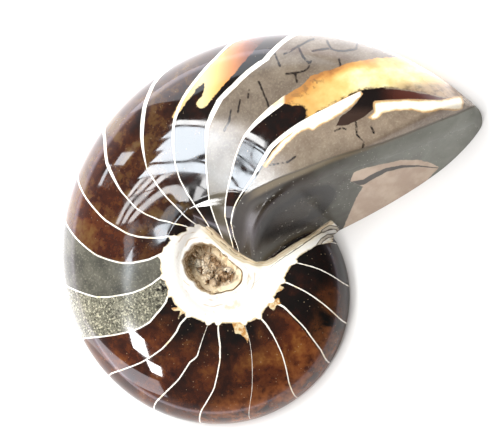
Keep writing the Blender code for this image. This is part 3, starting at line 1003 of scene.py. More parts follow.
# Spans: where a share starts and ends, and what it goes from and to if that isn't 0 and 1. Outlines and
# lines are in pixels of the photograph, places across and down it in hundreds of pixels, and distances on
# the shell in millimetres.
SPANS = {
    "outline": (-0.3, 0.4),
    "shade_inward": (-46.0, -4.0, -0.16, 0.55),
    "shade_younger": (0.25, 0.95, -0.10, 0.22),
    "olive_from": (11.99, 12.0),
    "olive_to": (16.0, 15.99),
    "olive_mottle": (0.46, 0.62, 0.0, 0.60),
    "olive_outward": (-6.0, -30.0),
    "lit_rim": (9.0, 1.0),
    "lit_mottle": (0.36, 0.60),
    "painted_sparkle": (0.14, 0.06),
    "pocket_inward": (-34.0, -6.0),
    "coarse_chamber": (0.8, 0.9),
    "painted_matrix_shade": (-95.0, -20.0, 0.0, 0.8),
    "last_chambers": (16.99, 17.0),
    "crack": (1.6, 0.5),
    "gold": (-0.4, 0.5),
    "glow": (0.5, 12.0, -0.12, 0.34),
    "soot_across": (3.30, 3.12),
    "gold_left": (3.35, 2.95, 0.0, 0.5),
    "gold_right": (4.10, 4.60, 0.0, 0.6),
    "torn_edge": (2.6, 0.4),
    "torn_below_top": (6.0, 11.0),
    "worn_across": (3.84, 4.10),
    "worn_down": (0.79, 0.88),
    "finger": (2.85, 2.75),
    "finger_length": (1.72, 2.70),
    "slit_across": (3.75, 4.05),
    "slit_shade_tail": (1.04, 1.15),
    "cream_depth": (-0.2, 5.0, 0.0, 0.7),
    "septum_edge": (-0.04, 0.05),
    "eighteenth_ends": (2.82, 2.86),
    "past_last_septum": (18.5, 18.52),
    "last_septum_ends": (3.58, 3.62),
    "end_across": (2.4, 4.6, 0.0, 0.62),
    "speck": (0.22, 0.12),
    "oval_edge": (-0.16, 0.10),
    "oval_middle": (0.62, 0.20),
    "arc_width": (3.6, 4.4, 2.6, 0.5),
    "arc_edge": (-0.2, 0.4),
    "past_crest": (-0.5, 0.5),
    "body_chamber": (19.0, 19.02),
    "crest_from": (2.42, 2.62),
    "crest_width": (2.3, 4.4, 9.0, 2.0),
    "crest_outer": (-1.0, 3.0),
    "crest_inner": (-1.0, 1.0),
    "tooth": (1.1, 0.0, 0.0, 5.0),
    "tooth_from_seam": (-1.0, 2.0),
    "tooth_reach": (-7.0, 0.0),
    "callus_ragged": (6.0, 14.0),
    "callus": (-0.6, 0.4),
    "chalk_depth": (0.0, 3.0, 0.0, 0.5),
    "layers_across": (2.2, 2.6, 0.0, 3.0),
    "layers": (0.0, 14.0),
    "layers_width": (12.0, 8.0),
    "layers_from": (1.95, 2.1),
    "crack_width": (2.5, 3.1, 0.05, 0.45),
    "crack_edge": (-0.25, 0.25),
    "shadowed_fold": (2.4, 1.7),
    "fold_lip": (1.5, 0.9),
    "hollow_edge": (0.30, -0.15),
    "hollow_wall": (-0.6, -1.0),
    "rough_rim": (5.0, 1.0, 0.0, 0.12),
    "unpolished": (18.0, 9.0),
    "sawn_filled": (0.70, 0.705),
    "sawn_shade": (0.0, 0.7, 0.15, 0.75),
    "sawn_coarse": (0.7, 1.0, 0.2, 0.9),
    "sawn_body": (2.05, 2.0),
    "sawn_vein": (0.030, 0.012),
    "sawn_septum": (0.36, 0.26),
    "sawn_chambers": (1.6, 1.7),
    "sawn_wall": (0.62, 0.50),
    "green_across": (2.02, 1.92),
    "green_down": (2.56, 2.64),
    "brown_top": (3.26, 3.10),
    "brown_low": (3.72, 3.84),
    "crevice_shade": (0.09, 0.02),
    "spike": (0.4, 0.6),
    "crust_rim": (2.6, 1.8),
    "crust_roughness": (0.3, 0.7, 0.22, 0.5),
}
# Spans of the distance from a middle: the middle comes first.
AROUND = {
    "lit_chambers": (5.0, 3.0, 1.0),
    "gold_middle": (3.8, 0.8, 0.1, 0.0, 0.4),
    "soot_band": (6.0, 7.0, 3.0),
    "real_septa": (10.0, 9.6, 9.4),
    "eighteenth_septum": (18.0, 0.5, 0.48),
    "crest_line": (0.4, 1.5, 0.4),
    "first_terrace": (1.5, 0.30, 0.08),
    "second_terrace": (3.1, 0.26, 0.06),
    "split": (3.4, 0.75, 0.15),
    "tube": (0.52, 0.055, 0.045),
    "tube_outer": (0.52, 0.075, 0.065),
    "tube_inner": (0.52, 0.045, 0.055),
}
YOUNGER_TO_OLIVE = -0.3
END_CLOUD_SHARE = 0.5
MATRIX_ROUGHNESS = 0.10
SHELL_ROUGHNESS = 0.08
CALLUS_ROUGHNESS = 0.40
END_ROUGHNESS = 0.10
CREST_ROUGHNESS = 0.40
WAVE_SHARE = 0.25
GRIT_SHARE = 0.5
RELIEF_DEPTH = 0.22
CALCITE_IOR = 1.6


class PolishedLook(Look):
    """The polished surface's material, with the fields that several of its layers read."""

    def __init__(self):
        super().__init__("polished_fossil")
        self.count = self.field("septa")
        self.callus = self.field("callus")
        self.seam = self.field("seam")
        self.across = self.field("pixel_x")
        self.down = self.field("pixel_y")
        self.in_matrix = self.by_chamber([row[0] for row in CHAMBERS])
        self.crest = self.ragged("crest_band")
        nearest = self.math("ROUND", self.count)
        self.gap = self.ragged("septum", abs(self.count - nearest) * self.field("spacing"))
        self.real_septum = nearest.around("real_septa")

    def by_chamber(self, values):
        """A value or a colour for each chamber, changing at once at each septum."""
        stops = []
        for number, value in enumerate(values):
            stops.append((number / len(values), value if isinstance(value, tuple) else (value,) * 3 + (1.0,)))
        return self.ramp(self.math("DIVIDE", self.count, float(len(values))), stops, steps=True)


def crystal_colour(look, shade):
    """Red-brown translucent calcite with amber mottles and dark veils."""
    cloud = look.noise(*CALCITE_CLOUD) * CALCITE_CLOUD_SHARE
    mottle = cloud + look.noise(*CALCITE_GRAIN) * (1.0 - CALCITE_CLOUD_SHARE)
    return look.mix(shade, look.ramp(mottle, WARM_CALCITE), look.ramp(mottle, DARK_CALCITE)), mottle


def matrix_colour(look, tint, coarse):
    """Grey matrix: a tint with soft clouds, and where it is coarse, bright and dark grains."""
    dark, light = tint.painted("matrix_shadow"), tint.painted("matrix_light")
    shaded = look.mix(look.patches("matrix_cloud"), dark, light)
    shaded = shaded.painted("dark_grain", look.patches("dark_grain") * coarse)
    return shaded.painted("light_grain", look.patches("light_grain") * coarse)


def calcite_fill(look):
    """Calcite, darker inward and to the younger septum, olive in some chambers, lit at some rims, with
    painted sparkles.
    """
    younger = look.math("FRACT", look.count).rise("shade_younger")
    shade = look.by_chamber(CHAMBER_SHADE) + look.callus.rise("shade_inward") + younger
    crystal, mottle = crystal_colour(look, shade)
    olive = look.count.rise("olive_from") * look.count.rise("olive_to")
    olive = olive * (mottle + younger * YOUNGER_TO_OLIVE).rise("olive_mottle")
    crystal = crystal.painted("olive", olive * look.callus.rise("olive_outward"))
    lit = look.field("from_edge").rise("lit_rim") * look.count.around("lit_chambers")
    crystal = crystal.painted("lit", lit * mottle.rise("lit_mottle"))
    # Painted sparkles: small pale specks in place of glints in the polish.
    return crystal.painted("painted_sparkle", look.cells(*SPARKLE_CELLS).rise("painted_sparkle") * look.patches("painted_sparkle"))


def matrix_fill(look):
    """Matrix with black pockets in its coarse chamber. The last chambers have painted shade towards the
    umbilicus.
    """
    coarse = look.by_chamber([row[1] for row in CHAMBERS])
    matrix = matrix_colour(look, look.by_chamber([screen(*row[2]) for row in CHAMBERS]), coarse)
    pockets = look.patches("pocket") * look.callus.rise("pocket_inward") * coarse.rise("coarse_chamber")
    matrix = matrix.painted("pocket", pockets)
    # Painted shade on the last chambers' matrix, growing towards the umbilicus.
    return matrix.painted("painted_matrix_shade", look.callus.rise("painted_matrix_shade") * look.count.rise("last_chambers"))


def with_cracks(look, colour):
    """Dark cracks run through the matrix of the last chambers."""
    crack = look.ragged("cracks").rise("crack") * look.patches("crack")
    return colour.painted("crack", crack * look.count.rise("last_chambers") * look.in_matrix)


def gold_colour(look, edge):
    """The golden shell layer, yellow where it is thin and orange to red-brown along the rim."""
    from_top = look.field("gold_top")
    below_top = look.drifting("gold_top", from_top)
    glow = look.drifting("glow", below_top.rise("glow")) + look.across.around("gold_middle")
    gold = look.ramp(glow, GOLD_COLOURS)
    soot = look.patches("soot") * look.across.rise("soot_across")
    gold = gold.painted("soot", soot * below_top.around("soot_band"))
    gold = gold.painted("gold_left", look.across.rise("gold_left"))
    gold = gold.painted("gold_right", look.across.rise("gold_right"))
    torn = edge.rise("torn_edge") * from_top.rise("torn_below_top")
    gold = gold.painted("torn", torn * look.patches("torn"))
    worn = look.across.rise("worn_across") * look.down.rise("worn_down")
    gold = look.mix(worn * WORN_COVER, gold, look.mottled("worn"))
    finger = look.ramp(look.across.rise("finger_length"), FINGER_COLOURS)
    return look.mix(look.across.rise("finger"), gold, finger)


def with_shell(look, colour):
    """The golden shell, the open slit under it with its shade painted dark, and the cream shell. Also says
    where the shell is.
    """
    gold_edge = look.ragged("gold")
    in_gold = gold_edge.rise("gold")
    colour = look.mix(in_gold, colour, gold_colour(look, gold_edge))
    # Painted shade inside the open slit, paler at its lower tail.
    slit = look.mix(look.across.rise("slit_across"), *SLIT_SHADE_COLOURS)
    slit = slit.painted("slit_shade_tail", look.down.rise("slit_shade_tail"))
    colour = look.mix(look.ragged("slit").rise("outline"), colour, slit)
    cream_edge = look.ragged("cream")
    in_cream = cream_edge.rise("outline")
    cream = look.ramp(look.drifting("cream", cream_edge.rise("cream_depth")), CREAM_COLOURS)
    return look.mix(in_cream, colour, cream), in_gold.most(in_cream)


def with_septa(look, colour):
    """The septa's ivory edges. The last two end where the shell layer and the slit hide them."""
    on_line = (look.field("line") - look.gap).rise("septum_edge") * look.real_septum
    eighteenth = look.count.around("eighteenth_septum") * look.across.rise("eighteenth_ends")
    last = look.count.rise("past_last_septum") * look.across.rise("last_septum_ends")
    return look.mix(on_line * eighteenth.most(last).flipped(), colour, look.mottled("ivory"))


def end_colour(look):
    """The ground end: dark where the eye looks into it, with an oval and a fan of matrix."""
    cloud = look.noise(*END_CLOUD) * END_CLOUD_SHARE
    colour = look.ramp(cloud + look.across.rise("end_across"), END_COLOURS)
    colour = colour.painted("speck", look.cells(*SPECK_CELLS).rise("speck") * look.patches("speck"))
    oval = look.field("oval")
    colour = colour.painted("oval", oval.rise("oval_edge") * oval.rise("oval_middle"))
    in_fan = look.ragged("fan").rise("outline")
    colour = look.mix(in_fan, colour, look.mottled("fan"))
    arc = look.across.rise("arc_width") - abs(look.ragged("fan_arc"))
    return colour.painted("fan_arc", arc.rise("arc_edge") * in_fan)


def with_end(look, colour):
    """The ground end past its crest, and the crest itself in khaki with a dark line."""
    in_body = look.count.rise("body_chamber")
    colour = look.mix(look.crest.rise("past_crest") * in_body, colour, end_colour(look))
    by_crest = in_body * look.across.rise("crest_from")
    on_crest = (look.across.rise("crest_width") - look.crest).rise("crest_outer")
    colour = colour.painted("crest", on_crest * look.crest.rise("crest_inner") * by_crest)
    return colour.painted("crest_line", look.crest.around("crest_line") * by_crest)


def callus_edge(look):
    """How deep inside the callus each point lies, with teeth where the septa join it."""
    tooth = look.gap.rise("tooth") * look.real_septum * look.seam.rise("tooth_from_seam")
    wander = look.drifting("callus", look.edge_noise * RAGGED["callus"]) * look.seam.rise("callus_ragged")
    return look.callus + wander + tooth * look.callus.rise("tooth_reach")


def layer_colour(look):
    """The layered bands along the callus's seam, with a dark split in them."""
    place = look.drifting("layers", look.seam) + look.across.rise("layers_across")
    layers = look.ramp(place.rise("layers"), LAYER_COLOURS)
    return layers.painted("split", look.ragged("split", place).around("split") * look.patches("split"))


def chalk_colour(look, edge):
    """The white callus with its stains, terraces round the hollow, seam layers, crack, and folds with painted
    shadow.
    """
    chalk = look.ramp(look.drifting("chalk", edge.rise("chalk_depth")), CHALK_COLOURS)
    chalk = chalk.painted("stain", look.patches("stain") * look.patches("stained_part"))
    ring = look.drifting("terrace", look.field("past_hollow"))
    terraces = ring.around("first_terrace").most(ring.around("second_terrace"))
    chalk = chalk.painted("terrace", terraces * look.patches("terrace"))
    by_seam = look.seam.rise("layers_width") * look.across.rise("layers_from")
    chalk = look.mix(by_seam, chalk, layer_colour(look))
    crack = look.across.rise("crack_width") - abs(look.ragged("crack"))
    chalk = chalk.painted("callus_crack", crack.rise("crack_edge"))
    shadowed_fold = look.ragged("hook")
    # The fold's dark band is painted shadow along its sides. Its cream-grey middle is the fold itself.
    return chalk.painted("shadowed_fold", shadowed_fold.rise("shadowed_fold")).painted("fold_lip", shadowed_fold.rise("fold_lip"))


def with_callus(look, colour):
    """The callus, the flakes beside it and the wall of the hollow. Also says where the callus is."""
    edge = callus_edge(look)
    in_callus = edge.rise("callus")
    colour = look.mix(look.ragged("flake").rise("outline"), colour, look.mottled("flake"))
    colour = look.mix(in_callus, colour, chalk_colour(look, edge))
    colour = look.mix(look.ragged("past_hollow").rise("hollow_edge"), colour, look.mottled("wall"))
    return colour.painted("hollow", look.field("past_hollow").rise("hollow_wall")), in_callus


def polish_roughness(look, on_shell, in_callus):
    """Nearly a mirror, but duller on matrix, shell, the callus, the rim and the crest of the ground end."""
    at_end = look.crest.rise("past_crest") * look.count.rise("body_chamber")
    rough = look.patches("polish") + look.field("from_edge").rise("rough_rim")
    rough = rough + look.in_matrix * MATRIX_ROUGHNESS + on_shell * SHELL_ROUGHNESS
    rough = rough + in_callus * CALLUS_ROUGHNESS
    return rough + at_end * END_ROUGHNESS + at_end * look.crest.rise("unpolished") * CREST_ROUGHNESS


def polished_material():
    look = PolishedLook()
    colour = look.mix(look.in_matrix, calcite_fill(look), matrix_fill(look))
    colour, on_shell = with_shell(look, with_cracks(look, colour))
    colour = with_end(look, with_septa(look, colour))
    colour, in_callus = with_callus(look, colour)
    relief = look.noise(*SOFT_WAVES) * WAVE_SHARE + look.noise(*CALLUS_GRIT) * in_callus * GRIT_SHARE
    look.set_shader(Base_Color=colour, Roughness=polish_roughness(look, on_shell, in_callus), IOR=CALCITE_IOR)
    look.set_shader(Normal=look.bump(relief, RELIEF_DEPTH))
    return look.material


# The sawn face underneath. Its pattern is a guess, laid out along the same whorls.
FACE_RINGS = 90
FACE_CROWDING = 1.35
CHAMBER_TURN = math.radians(15.5)
CHAMBER_BEND = 0.16
CHAMBER_LEAD = 0.05
CHAMBER_BEND_GROWTH = 0.1
FULL_LINE_DISTANCE = 24.0
THINNEST_LINE = 0.10
SMALLEST_WHORL = 4.6
WALL_SLANT = 0.75
KIND_STEP = 0.377
SAWN_COAT = 0.6
SAWN_COAT_ROUGHNESS = 0.05


def whorl_turn(distance):
    """The angle back from the tip at which the outer edge has this radius."""
    shrink = np.log(np.maximum(distance, SMALLEST_WHORL) / TIP_RADIUS)
    return (SHRINK_RATE - np.sqrt(SHRINK_RATE**2 + 4.0 * SHRINK_EASING * shrink)) / (2.0 * SHRINK_EASING)


def paint_face(mesh, points):
    """Fields for the sawn face: the place across the whorl, and the count of chambers along it."""
    x, y = points[:, 0], points[:, 1]
    distance = np.hypot(x, y)
    angle = np.arctan2(y, x)
    whorls = (whorl_turn(distance) - angle) / FULL_TURN
    full = np.floor(whorls)
    turn = angle + FULL_TURN * full
    part = whorls - full
    bend = CHAMBER_BEND * np.sin(math.pi * part) - CHAMBER_LEAD
    thinning = np.clip(distance / FULL_LINE_DISTANCE, THINNEST_LINE, 1.0)
    from_wall = np.abs(whorls - np.rint(whorls)) * distance * FULL_TURN * SHRINK_RATE * WALL_SLANT
    add_field(mesh, "from_wall", from_wall / thinning)
    add_field(mesh, "chambers", (turn - bend * (1.0 + CHAMBER_BEND_GROWTH * turn)) / CHAMBER_TURN)
    add_field(mesh, "chamber_reach", distance * CHAMBER_TURN / thinning)
    add_field(mesh, "across", part)


def build_face():
    bearings = line_bearings()
    shares = (np.arange(1, FACE_RINGS + 1) / FACE_RINGS) ** FACE_CROWDING
    x, y = plan_points(shares[:, None] * foot_reach(bearings), bearings)
    made, points = grid_mesh("sawn_face", x, y, np.zeros_like(x), False)
    paint_face(made.data, points)
    add_bake_map(made.data)
    return made


def sawn_lines(look, chambers):
    """Where the septa, the walls between whorls and the sides of the tube through the chambers are cut."""
    in_chambers = chambers.rise("sawn_chambers")
    septum = abs(chambers - look.math("ROUND", chambers)) * look.field("chamber_reach")
    line = look.ragged("sawn_septum", septum).rise("sawn_septum") * in_chambers
    line = line.most(look.ragged("from_wall").rise("sawn_wall"))
    across = look.field("across")
    return line.most(across.around("tube_outer") * across.around("tube_inner") * in_chambers)


def sawn_material():
    look = Look("sawn_face")
    chambers = look.field("chambers")
    kind = look.math("FRACT", look.math("FLOOR", chambers) * KIND_STEP)
    crystal, _ = crystal_colour(look, kind.rise("sawn_shade"))
    in_body = chambers.rise("sawn_body")
    matrix = matrix_colour(look, look.mix(in_body, *SAWN_MATRIX_COLOURS), kind.rise("sawn_coarse"))
    colour = look.mix(kind.rise("sawn_filled").most(in_body), crystal, matrix)
    veins = look.cells(*VEIN_CELLS, feature="DISTANCE_TO_EDGE")
    colour = colour.painted("vein", veins.rise("sawn_vein") * in_body)
    colour = colour.painted("tube", look.field("across").around("tube") * chambers.rise("sawn_chambers"))
    colour = look.mix(sawn_lines(look, chambers), colour, look.mottled("sawn_ivory"))
    look.set_shader(Base_Color=colour, Roughness=look.patches("sawn_polish"))
    look.set_shader(Coat_Weight=SAWN_COAT, Coat_Roughness=SAWN_COAT_ROUGHNESS)
    return look.material


# The crust of crystals in the hollow: a bumpy bed, spikes along its wall and blunt lumps on it. Two numbers
# are the least and the most that the random numbers give.
CRUST_SEED = 11
CRUST_RINGS = 70
CRUST_LINES = 260
BED_HEIGHT = 2.8
BED_GAP = 0.55
BED_RELIEF = 1.5
BED_BUMPS = 26
BED_BUMP_SIZE = (0.5, 1.9)
BED_BUMP_HEIGHT = (0.2, 1.0)
BED_BUMP_X = (-5.6, 5.6)
BED_BUMP_Y = (-6.0, 6.6)
CRYSTAL_TWIST = (0.0, 3.0)
SPIKES = 13
SPIKES_FROM = math.radians(58.0)
SPIKES_TO = math.radians(142.0)
SPIKE_STRAY = 0.5
SPIKE_SIDES = 6
SPIKE_POINT = 0.05
SPIKE_WALL_GAP = 0.75
SPIKE_RISE = (0.1, 0.6)
SPIKE_FOOT = (11.8, 13.2)
SPIKE_RADIUS = (0.24, 0.40)
SPIKE_LENGTH = (1.6, 3.0)
LUMPS = 60
LUMP_SIDES = (4, 6)
LUMP_WALL_GAP = 2.4
LUMP_LEAN = (-0.8, 0.8)
LUMP_FOOT = (10.0, 11.0)
LUMP_RADIUS = (0.5, 1.7)
LUMP_LENGTH = (0.6, 1.7)
LUMP_BLUNTNESS = (0.6, 0.95)
CRUST_CLOUD_SHARE = 0.55
CRUST_SLAB_SHARE = 0.42
BROWN_TOP_SLANT = 0.35
BROWN_LOW_SLANT = 0.4
CRUST_RELIEF_DEPTH = 0.20


def bed_bumps(x, y, chance):
    """How much of a bump stands over each point of the bed, 0 to 1."""
    bump = 0.0
    for _ in range(BED_BUMPS):
        size = chance.uniform(*BED_BUMP_SIZE)
        spot = np.array([chance.uniform(*BED_BUMP_X), chance.uniform(*BED_BUMP_Y)])
        away = np.hypot(x - HOLLOW_CENTRE[0] - spot[0], y - HOLLOW_CENTRE[1] - spot[1])
        bump = np.maximum(bump, chance.uniform(*BED_BUMP_HEIGHT) * np.clip(1.0 - away / size, 0.0, 1.0))
    return bump


def add_bed(builder, chance):
    """The bed as a closed block: rings on top, a skirt down to the hollow's floor and a bottom."""
    bearings = np.linspace(0.0, FULL_TURN, CRUST_LINES, endpoint=False)
    shares = np.arange(1, CRUST_RINGS + 1)[:, None] / CRUST_RINGS
    x, y = plan_points((hollow_rim(bearings) - BED_GAP) * shares, bearings)
    z = HOLLOW_FLOOR + BED_HEIGHT + BED_RELIEF * bed_bumps(x, y, chance)
    x, y = np.vstack([x, x[-1:]]), np.vstack([y, y[-1:]])
    z = np.vstack([z, np.full((1, CRUST_LINES), HOLLOW_FLOOR)])
    rows = [[builder.verts.new(corner) for corner in zip(*ring)] for ring in zip(x, y, z)]
    for inner, outer in zip(rows, rows[1:]):
        for line in range(CRUST_LINES):
            beyond = (line + 1) % CRUST_LINES
            builder.faces.new((inner[line], outer[line], outer[beyond], inner[beyond]))
    builder.faces.new(rows[0])
    builder.faces.new(reversed(rows[-1]))


def add_crystal(builder, foot, direction, radius, length, blunt, sides, twist):
    """A faceted crystal that narrows to a point, or to a small end where it is blunt."""
    made = bmesh.ops.create_cone(
        builder, cap_ends=True, segments=sides, radius1=radius, radius2=radius * blunt, depth=length
    )
    turn = direction.to_track_quat("Z", "Y").to_matrix().to_4x4() @ Matrix.Rotation(twist, 4, "Z")
    place = Matrix.Translation(foot) @ turn @ Matrix.Translation((0.0, 0.0, 0.5 * length))
    bmesh.ops.transform(builder, matrix=place, verts=made["verts"])


def crystal_foot(bearing, reach, height):
    return Vector((
        HOLLOW_CENTRE[0] + reach * math.cos(bearing), HOLLOW_CENTRE[1] + reach * math.sin(bearing), height
    ))


def add_spikes(builder, chance):
    for step in range(SPIKES):
        bearing = SPIKES_FROM + (SPIKES_TO - SPIKES_FROM) * (step + SPIKE_STRAY * chance.random()) / SPIKES
        inward = Vector((-math.cos(bearing), -math.sin(bearing), chance.uniform(*SPIKE_RISE))).normalized()
        foot = crystal_foot(bearing, float(hollow_rim(bearing)) - SPIKE_WALL_GAP, chance.uniform(*SPIKE_FOOT))
        radius, length = chance.uniform(*SPIKE_RADIUS), chance.uniform(*SPIKE_LENGTH)
        twist = chance.uniform(*CRYSTAL_TWIST)
        add_crystal(builder, foot, inward, radius, length, SPIKE_POINT, SPIKE_SIDES, twist)


def add_lumps(builder, chance):
    for _ in range(LUMPS):
        bearing = chance.uniform(0.0, FULL_TURN)
        reach = (float(hollow_rim(bearing)) - LUMP_WALL_GAP) * math.sqrt(chance.random())
        lean = Vector((chance.uniform(*LUMP_LEAN), chance.uniform(*LUMP_LEAN), 1.0)).normalized()
        foot = crystal_foot(bearing, reach, chance.uniform(*LUMP_FOOT))
        radius, length = chance.uniform(*LUMP_RADIUS), chance.uniform(*LUMP_LENGTH)
        blunt, sides = chance.uniform(*LUMP_BLUNTNESS), chance.randint(*LUMP_SIDES)
        add_crystal(builder, foot, lean, radius, length, blunt, sides, chance.uniform(*CRYSTAL_TWIST))


def paint_crust(mesh, bed_points, spike_points):
    """Every field that the crust's material reads."""
    places = np.zeros(len(mesh.vertices) * 3)
    mesh.vertices.foreach_get("co", places)
    places = places.reshape(-1, 3) / MM - AXIS_PLACE
    away = places[:, :2] - HOLLOW_CENTRE
    bearing = np.arctan2(away[:, 1], away[:, 0])
    add_field(mesh, "from_rim", hollow_rim(bearing) - np.hypot(away[:, 0], away[:, 1]))
    order = np.arange(len(places))
    add_field(mesh, "spike", (order >= bed_points) & (order < spike_points))
    add_pixel_fields(mesh, places)


def build_crust():
    chance = random.Random(CRUST_SEED)
    builder = bmesh.new()
    add_bed(builder, chance)
    bed_points = len(builder.verts)
    add_spikes(builder, chance)
    spike_points = len(builder.verts)
    add_lumps(builder, chance)
    bmesh.ops.recalc_face_normals(builder, faces=builder.faces)
    for corner in builder.verts:
        corner.co = (corner.co + Vector(AXIS_PLACE)) * MM
    mesh = bpy.data.meshes.new("crystal_crust")
    builder.to_mesh(mesh)
    builder.free()
    paint_crust(mesh, bed_points, spike_points)
    return add_object("crystal_crust", mesh)


def crust_material():
    """Tan crystals, green to the left and brown along the top and bottom, with dark holes and painted shade
    in crevices.
    """
    look = Look("calcite_crystals")
    across, down = look.field("pixel_x"), look.field("pixel_y")
    slabs = look.cells(*CRUST_CELLS, output="Color") * CRUST_SLAB_SHARE
    cloud = look.noise(*CRUST_CLOUD) * CRUST_CLOUD_SHARE + slabs
    green = across.rise("green_across") * down.rise("green_down")
    colour = look.mix(green, look.ramp(cloud, CRUST_TAN), look.ramp(cloud, CRUST_GREEN))
    brown = (down + across * BROWN_TOP_SLANT).rise("brown_top")
    brown = brown.most((down + across * BROWN_LOW_SLANT).rise("brown_low"))
    colour = look.mix(brown, colour, look.ramp(cloud, CRUST_BROWN))
    colour = colour.painted("crust_hole", look.patches("crust_hole"))
    # Painted shade along the crevices between crystals.
    colour = colour.painted("crevice_shade", look.cells(*CRUST_CELLS, feature="DISTANCE_TO_EDGE").rise("crevice_shade"))
    spike = look.field("spike").rise("spike")
    colour = colour.painted("crust_rim", look.field("from_rim").rise("crust_rim") * spike.flipped())
    colour = colour.painted("spike", spike)
    look.set_shader(Base_Color=colour, Roughness=cloud.rise("crust_roughness"))
    look.set_shader(Normal=look.bump(look.noise(*CRUST_RELIEF), CRUST_RELIEF_DEPTH))
    return look.material


# The stage. Panes are lamps in one plane far to the upper left of the photograph, which shine in the polish.
WINDOW_BEARING = math.radians(118.0)
WINDOW_ELEVATION = math.radians(50.0)
WINDOW_DISTANCE = 6.0
WINDOW_GLOW = 18.0
WHITE = (1.0, 1.0, 1.0)
SKY = (0.86, 0.93, 1.0)
LILAC = (0.95, 0.93, 1.0)
STRIP_SPIN = math.radians(56.0)
# Each pane's name, its left, right, lower and upper sides as tangents of the angle from the plane's middle,
# its glow, and its colour and spin where it has them.
WINDOW_PANES = [
    ("window_left", -0.145, -0.112, -0.140, 0.115, WINDOW_GLOW),
    ("window_inner", -0.098, -0.040, -0.100, 0.078, WINDOW_GLOW, SKY),
    ("window_middle", -0.040, 0.018, -0.062, 0.078, WINDOW_GLOW, SKY),
    ("window_outer", 0.018, 0.076, -0.024, 0.078, WINDOW_GLOW, SKY),
]
TOPLIGHT_COLUMNS = [(-0.098, -0.090), (-0.082, -0.020), (-0.012, 0.076)]
TOPLIGHT_ROWS = {"low": (0.088, 0.096), "high": (0.100, 0.116)}
LOW_PANE = ("window_low", 0.088, 0.136, -0.010, 0.114, WINDOW_GLOW, SKY)
# Each blind's name, left and right sides, lowest side, spacing and height of its slats, and glow.
BLIND_SLATS = 3
BLINDS = [
    ("blind_near", 0.140, 0.190, 0.006, 0.036, 0.022, 0.8 * WINDOW_GLOW),
    ("blind_far", 0.194, 0.280, 0.030, 0.050, 0.030, 0.6 * WINDOW_GLOW),
]
OTHER_PANES = [
    ("second_window_near", 0.56, 0.76, 0.30, 0.44, 2.0 * WINDOW_GLOW),
    ("second_window_far", 0.80, 1.04, 0.40, 0.53, 2.0 * WINDOW_GLOW),
    ("strip", 0.335, 0.445, 0.275, 0.315, 0.8 * WINDOW_GLOW, SKY, STRIP_SPIN),
    ("faint_strip", 0.275, 0.375, 0.185, 0.225, 0.15 * WINDOW_GLOW, SKY, STRIP_SPIN),
    ("low_window_wide", 0.070, 0.160, -0.47, -0.215, 0.55 * WINDOW_GLOW, SKY),
    ("low_window_middle", 0.010, 0.070, -0.36, -0.215, 0.55 * WINDOW_GLOW, SKY),
    ("low_window_narrow", -0.045, 0.010, -0.29, -0.23, 0.55 * WINDOW_GLOW, SKY),
    ("side_wall", 1.28, 2.80, -0.90, 0.45, 4.0, LILAC),
    ("bright_wall", -1.6, -0.30, -1.7, -0.28, 2.2, SKY),
]
SOFTBOX = ("softbox", -0.75, 0.75, -0.4, 0.9, 3.0)
FLOOR_GLOW = 2.0
FLOOR_GLOW_BEARING = math.radians(88.0)
FLOOR_GLOW_SIZE = 1.2
FLOOR_GLOW_HEIGHT = 0.05
FLOOR_GLOW_COLOUR = (0.96, 0.95, 1.0)
FLOOR_REACH = 30.0
FLOOR_DROP = 0.1
FLOOR_COLOUR = (0.87, 0.86, 0.845, 1.0)
FLOOR_ROUGHNESS = 0.7
# The room by the height of the direction, from the horizon up, and how bright it is from its dim side round.
ROOM_COLOURS = [
    (0.0, (2.0, 1.86, 2.06, 1.0)), (0.08, (1.7, 1.58, 1.75, 1.0)), (0.19, (0.42, 0.39, 0.40, 1.0)),
    (0.5, (0.17, 0.16, 0.15, 1.0)),
]
BRIGHT_SIDE = math.radians(150.0)
ROOM_SPAN = (-0.6, 0.8, 0.75, 2.2)
SENSOR_WIDTH = 36.0


def add_pane(name, left, right, low, high, glow, colour=WHITE, spin=0.0):
    """A rectangular lamp in the window plane."""
    facing = np.array([
        math.cos(WINDOW_ELEVATION) * math.cos(WINDOW_BEARING),
        math.cos(WINDOW_ELEVATION) * math.sin(WINDOW_BEARING),
        math.sin(WINDOW_ELEVATION),
    ])
    across = np.cross((0.0, 0.0, 1.0), facing)
    across = across / np.linalg.norm(across)
    upward = np.cross(facing, across)
    lamp = bpy.data.lights.new(name, "AREA")
    lamp.shape = "RECTANGLE"
    lamp.size = (right - left) * WINDOW_DISTANCE
    lamp.size_y = (high - low) * WINDOW_DISTANCE
    lamp.energy = glow * math.pi * lamp.size * lamp.size_y
    lamp.color = colour
    made = add_object(name, lamp)
    place = facing + across * 0.5 * (left + right) + upward * 0.5 * (low + high)
    axes = Matrix((across, upward, facing)).transposed().to_4x4() @ Matrix.Rotation(spin, 4, "Z")
    made.matrix_world = Matrix.Translation(Vector(place * WINDOW_DISTANCE)) @ axes
    return made


def add_floor_glow():
    """A wide lamp on the floor that the camera doesn't see: the rim mirrors it as a pale floor."""
    lamp = bpy.data.lights.new("floor_glow", "AREA")
    lamp.size = FLOOR_GLOW_SIZE
    lamp.energy = FLOOR_GLOW * math.pi * FLOOR_GLOW_SIZE**2
    lamp.color = FLOOR_GLOW_COLOUR
    made = add_object("floor_glow", lamp)
    aside = Matrix.Translation((0.5 * FLOOR_GLOW_SIZE, 0.0, FLOOR_GLOW_HEIGHT * MM))
    made.matrix_world = Matrix.Rotation(FLOOR_GLOW_BEARING, 4, "Z") @ aside @ Matrix.Rotation(math.pi, 4, "X")
    made.visible_camera = False


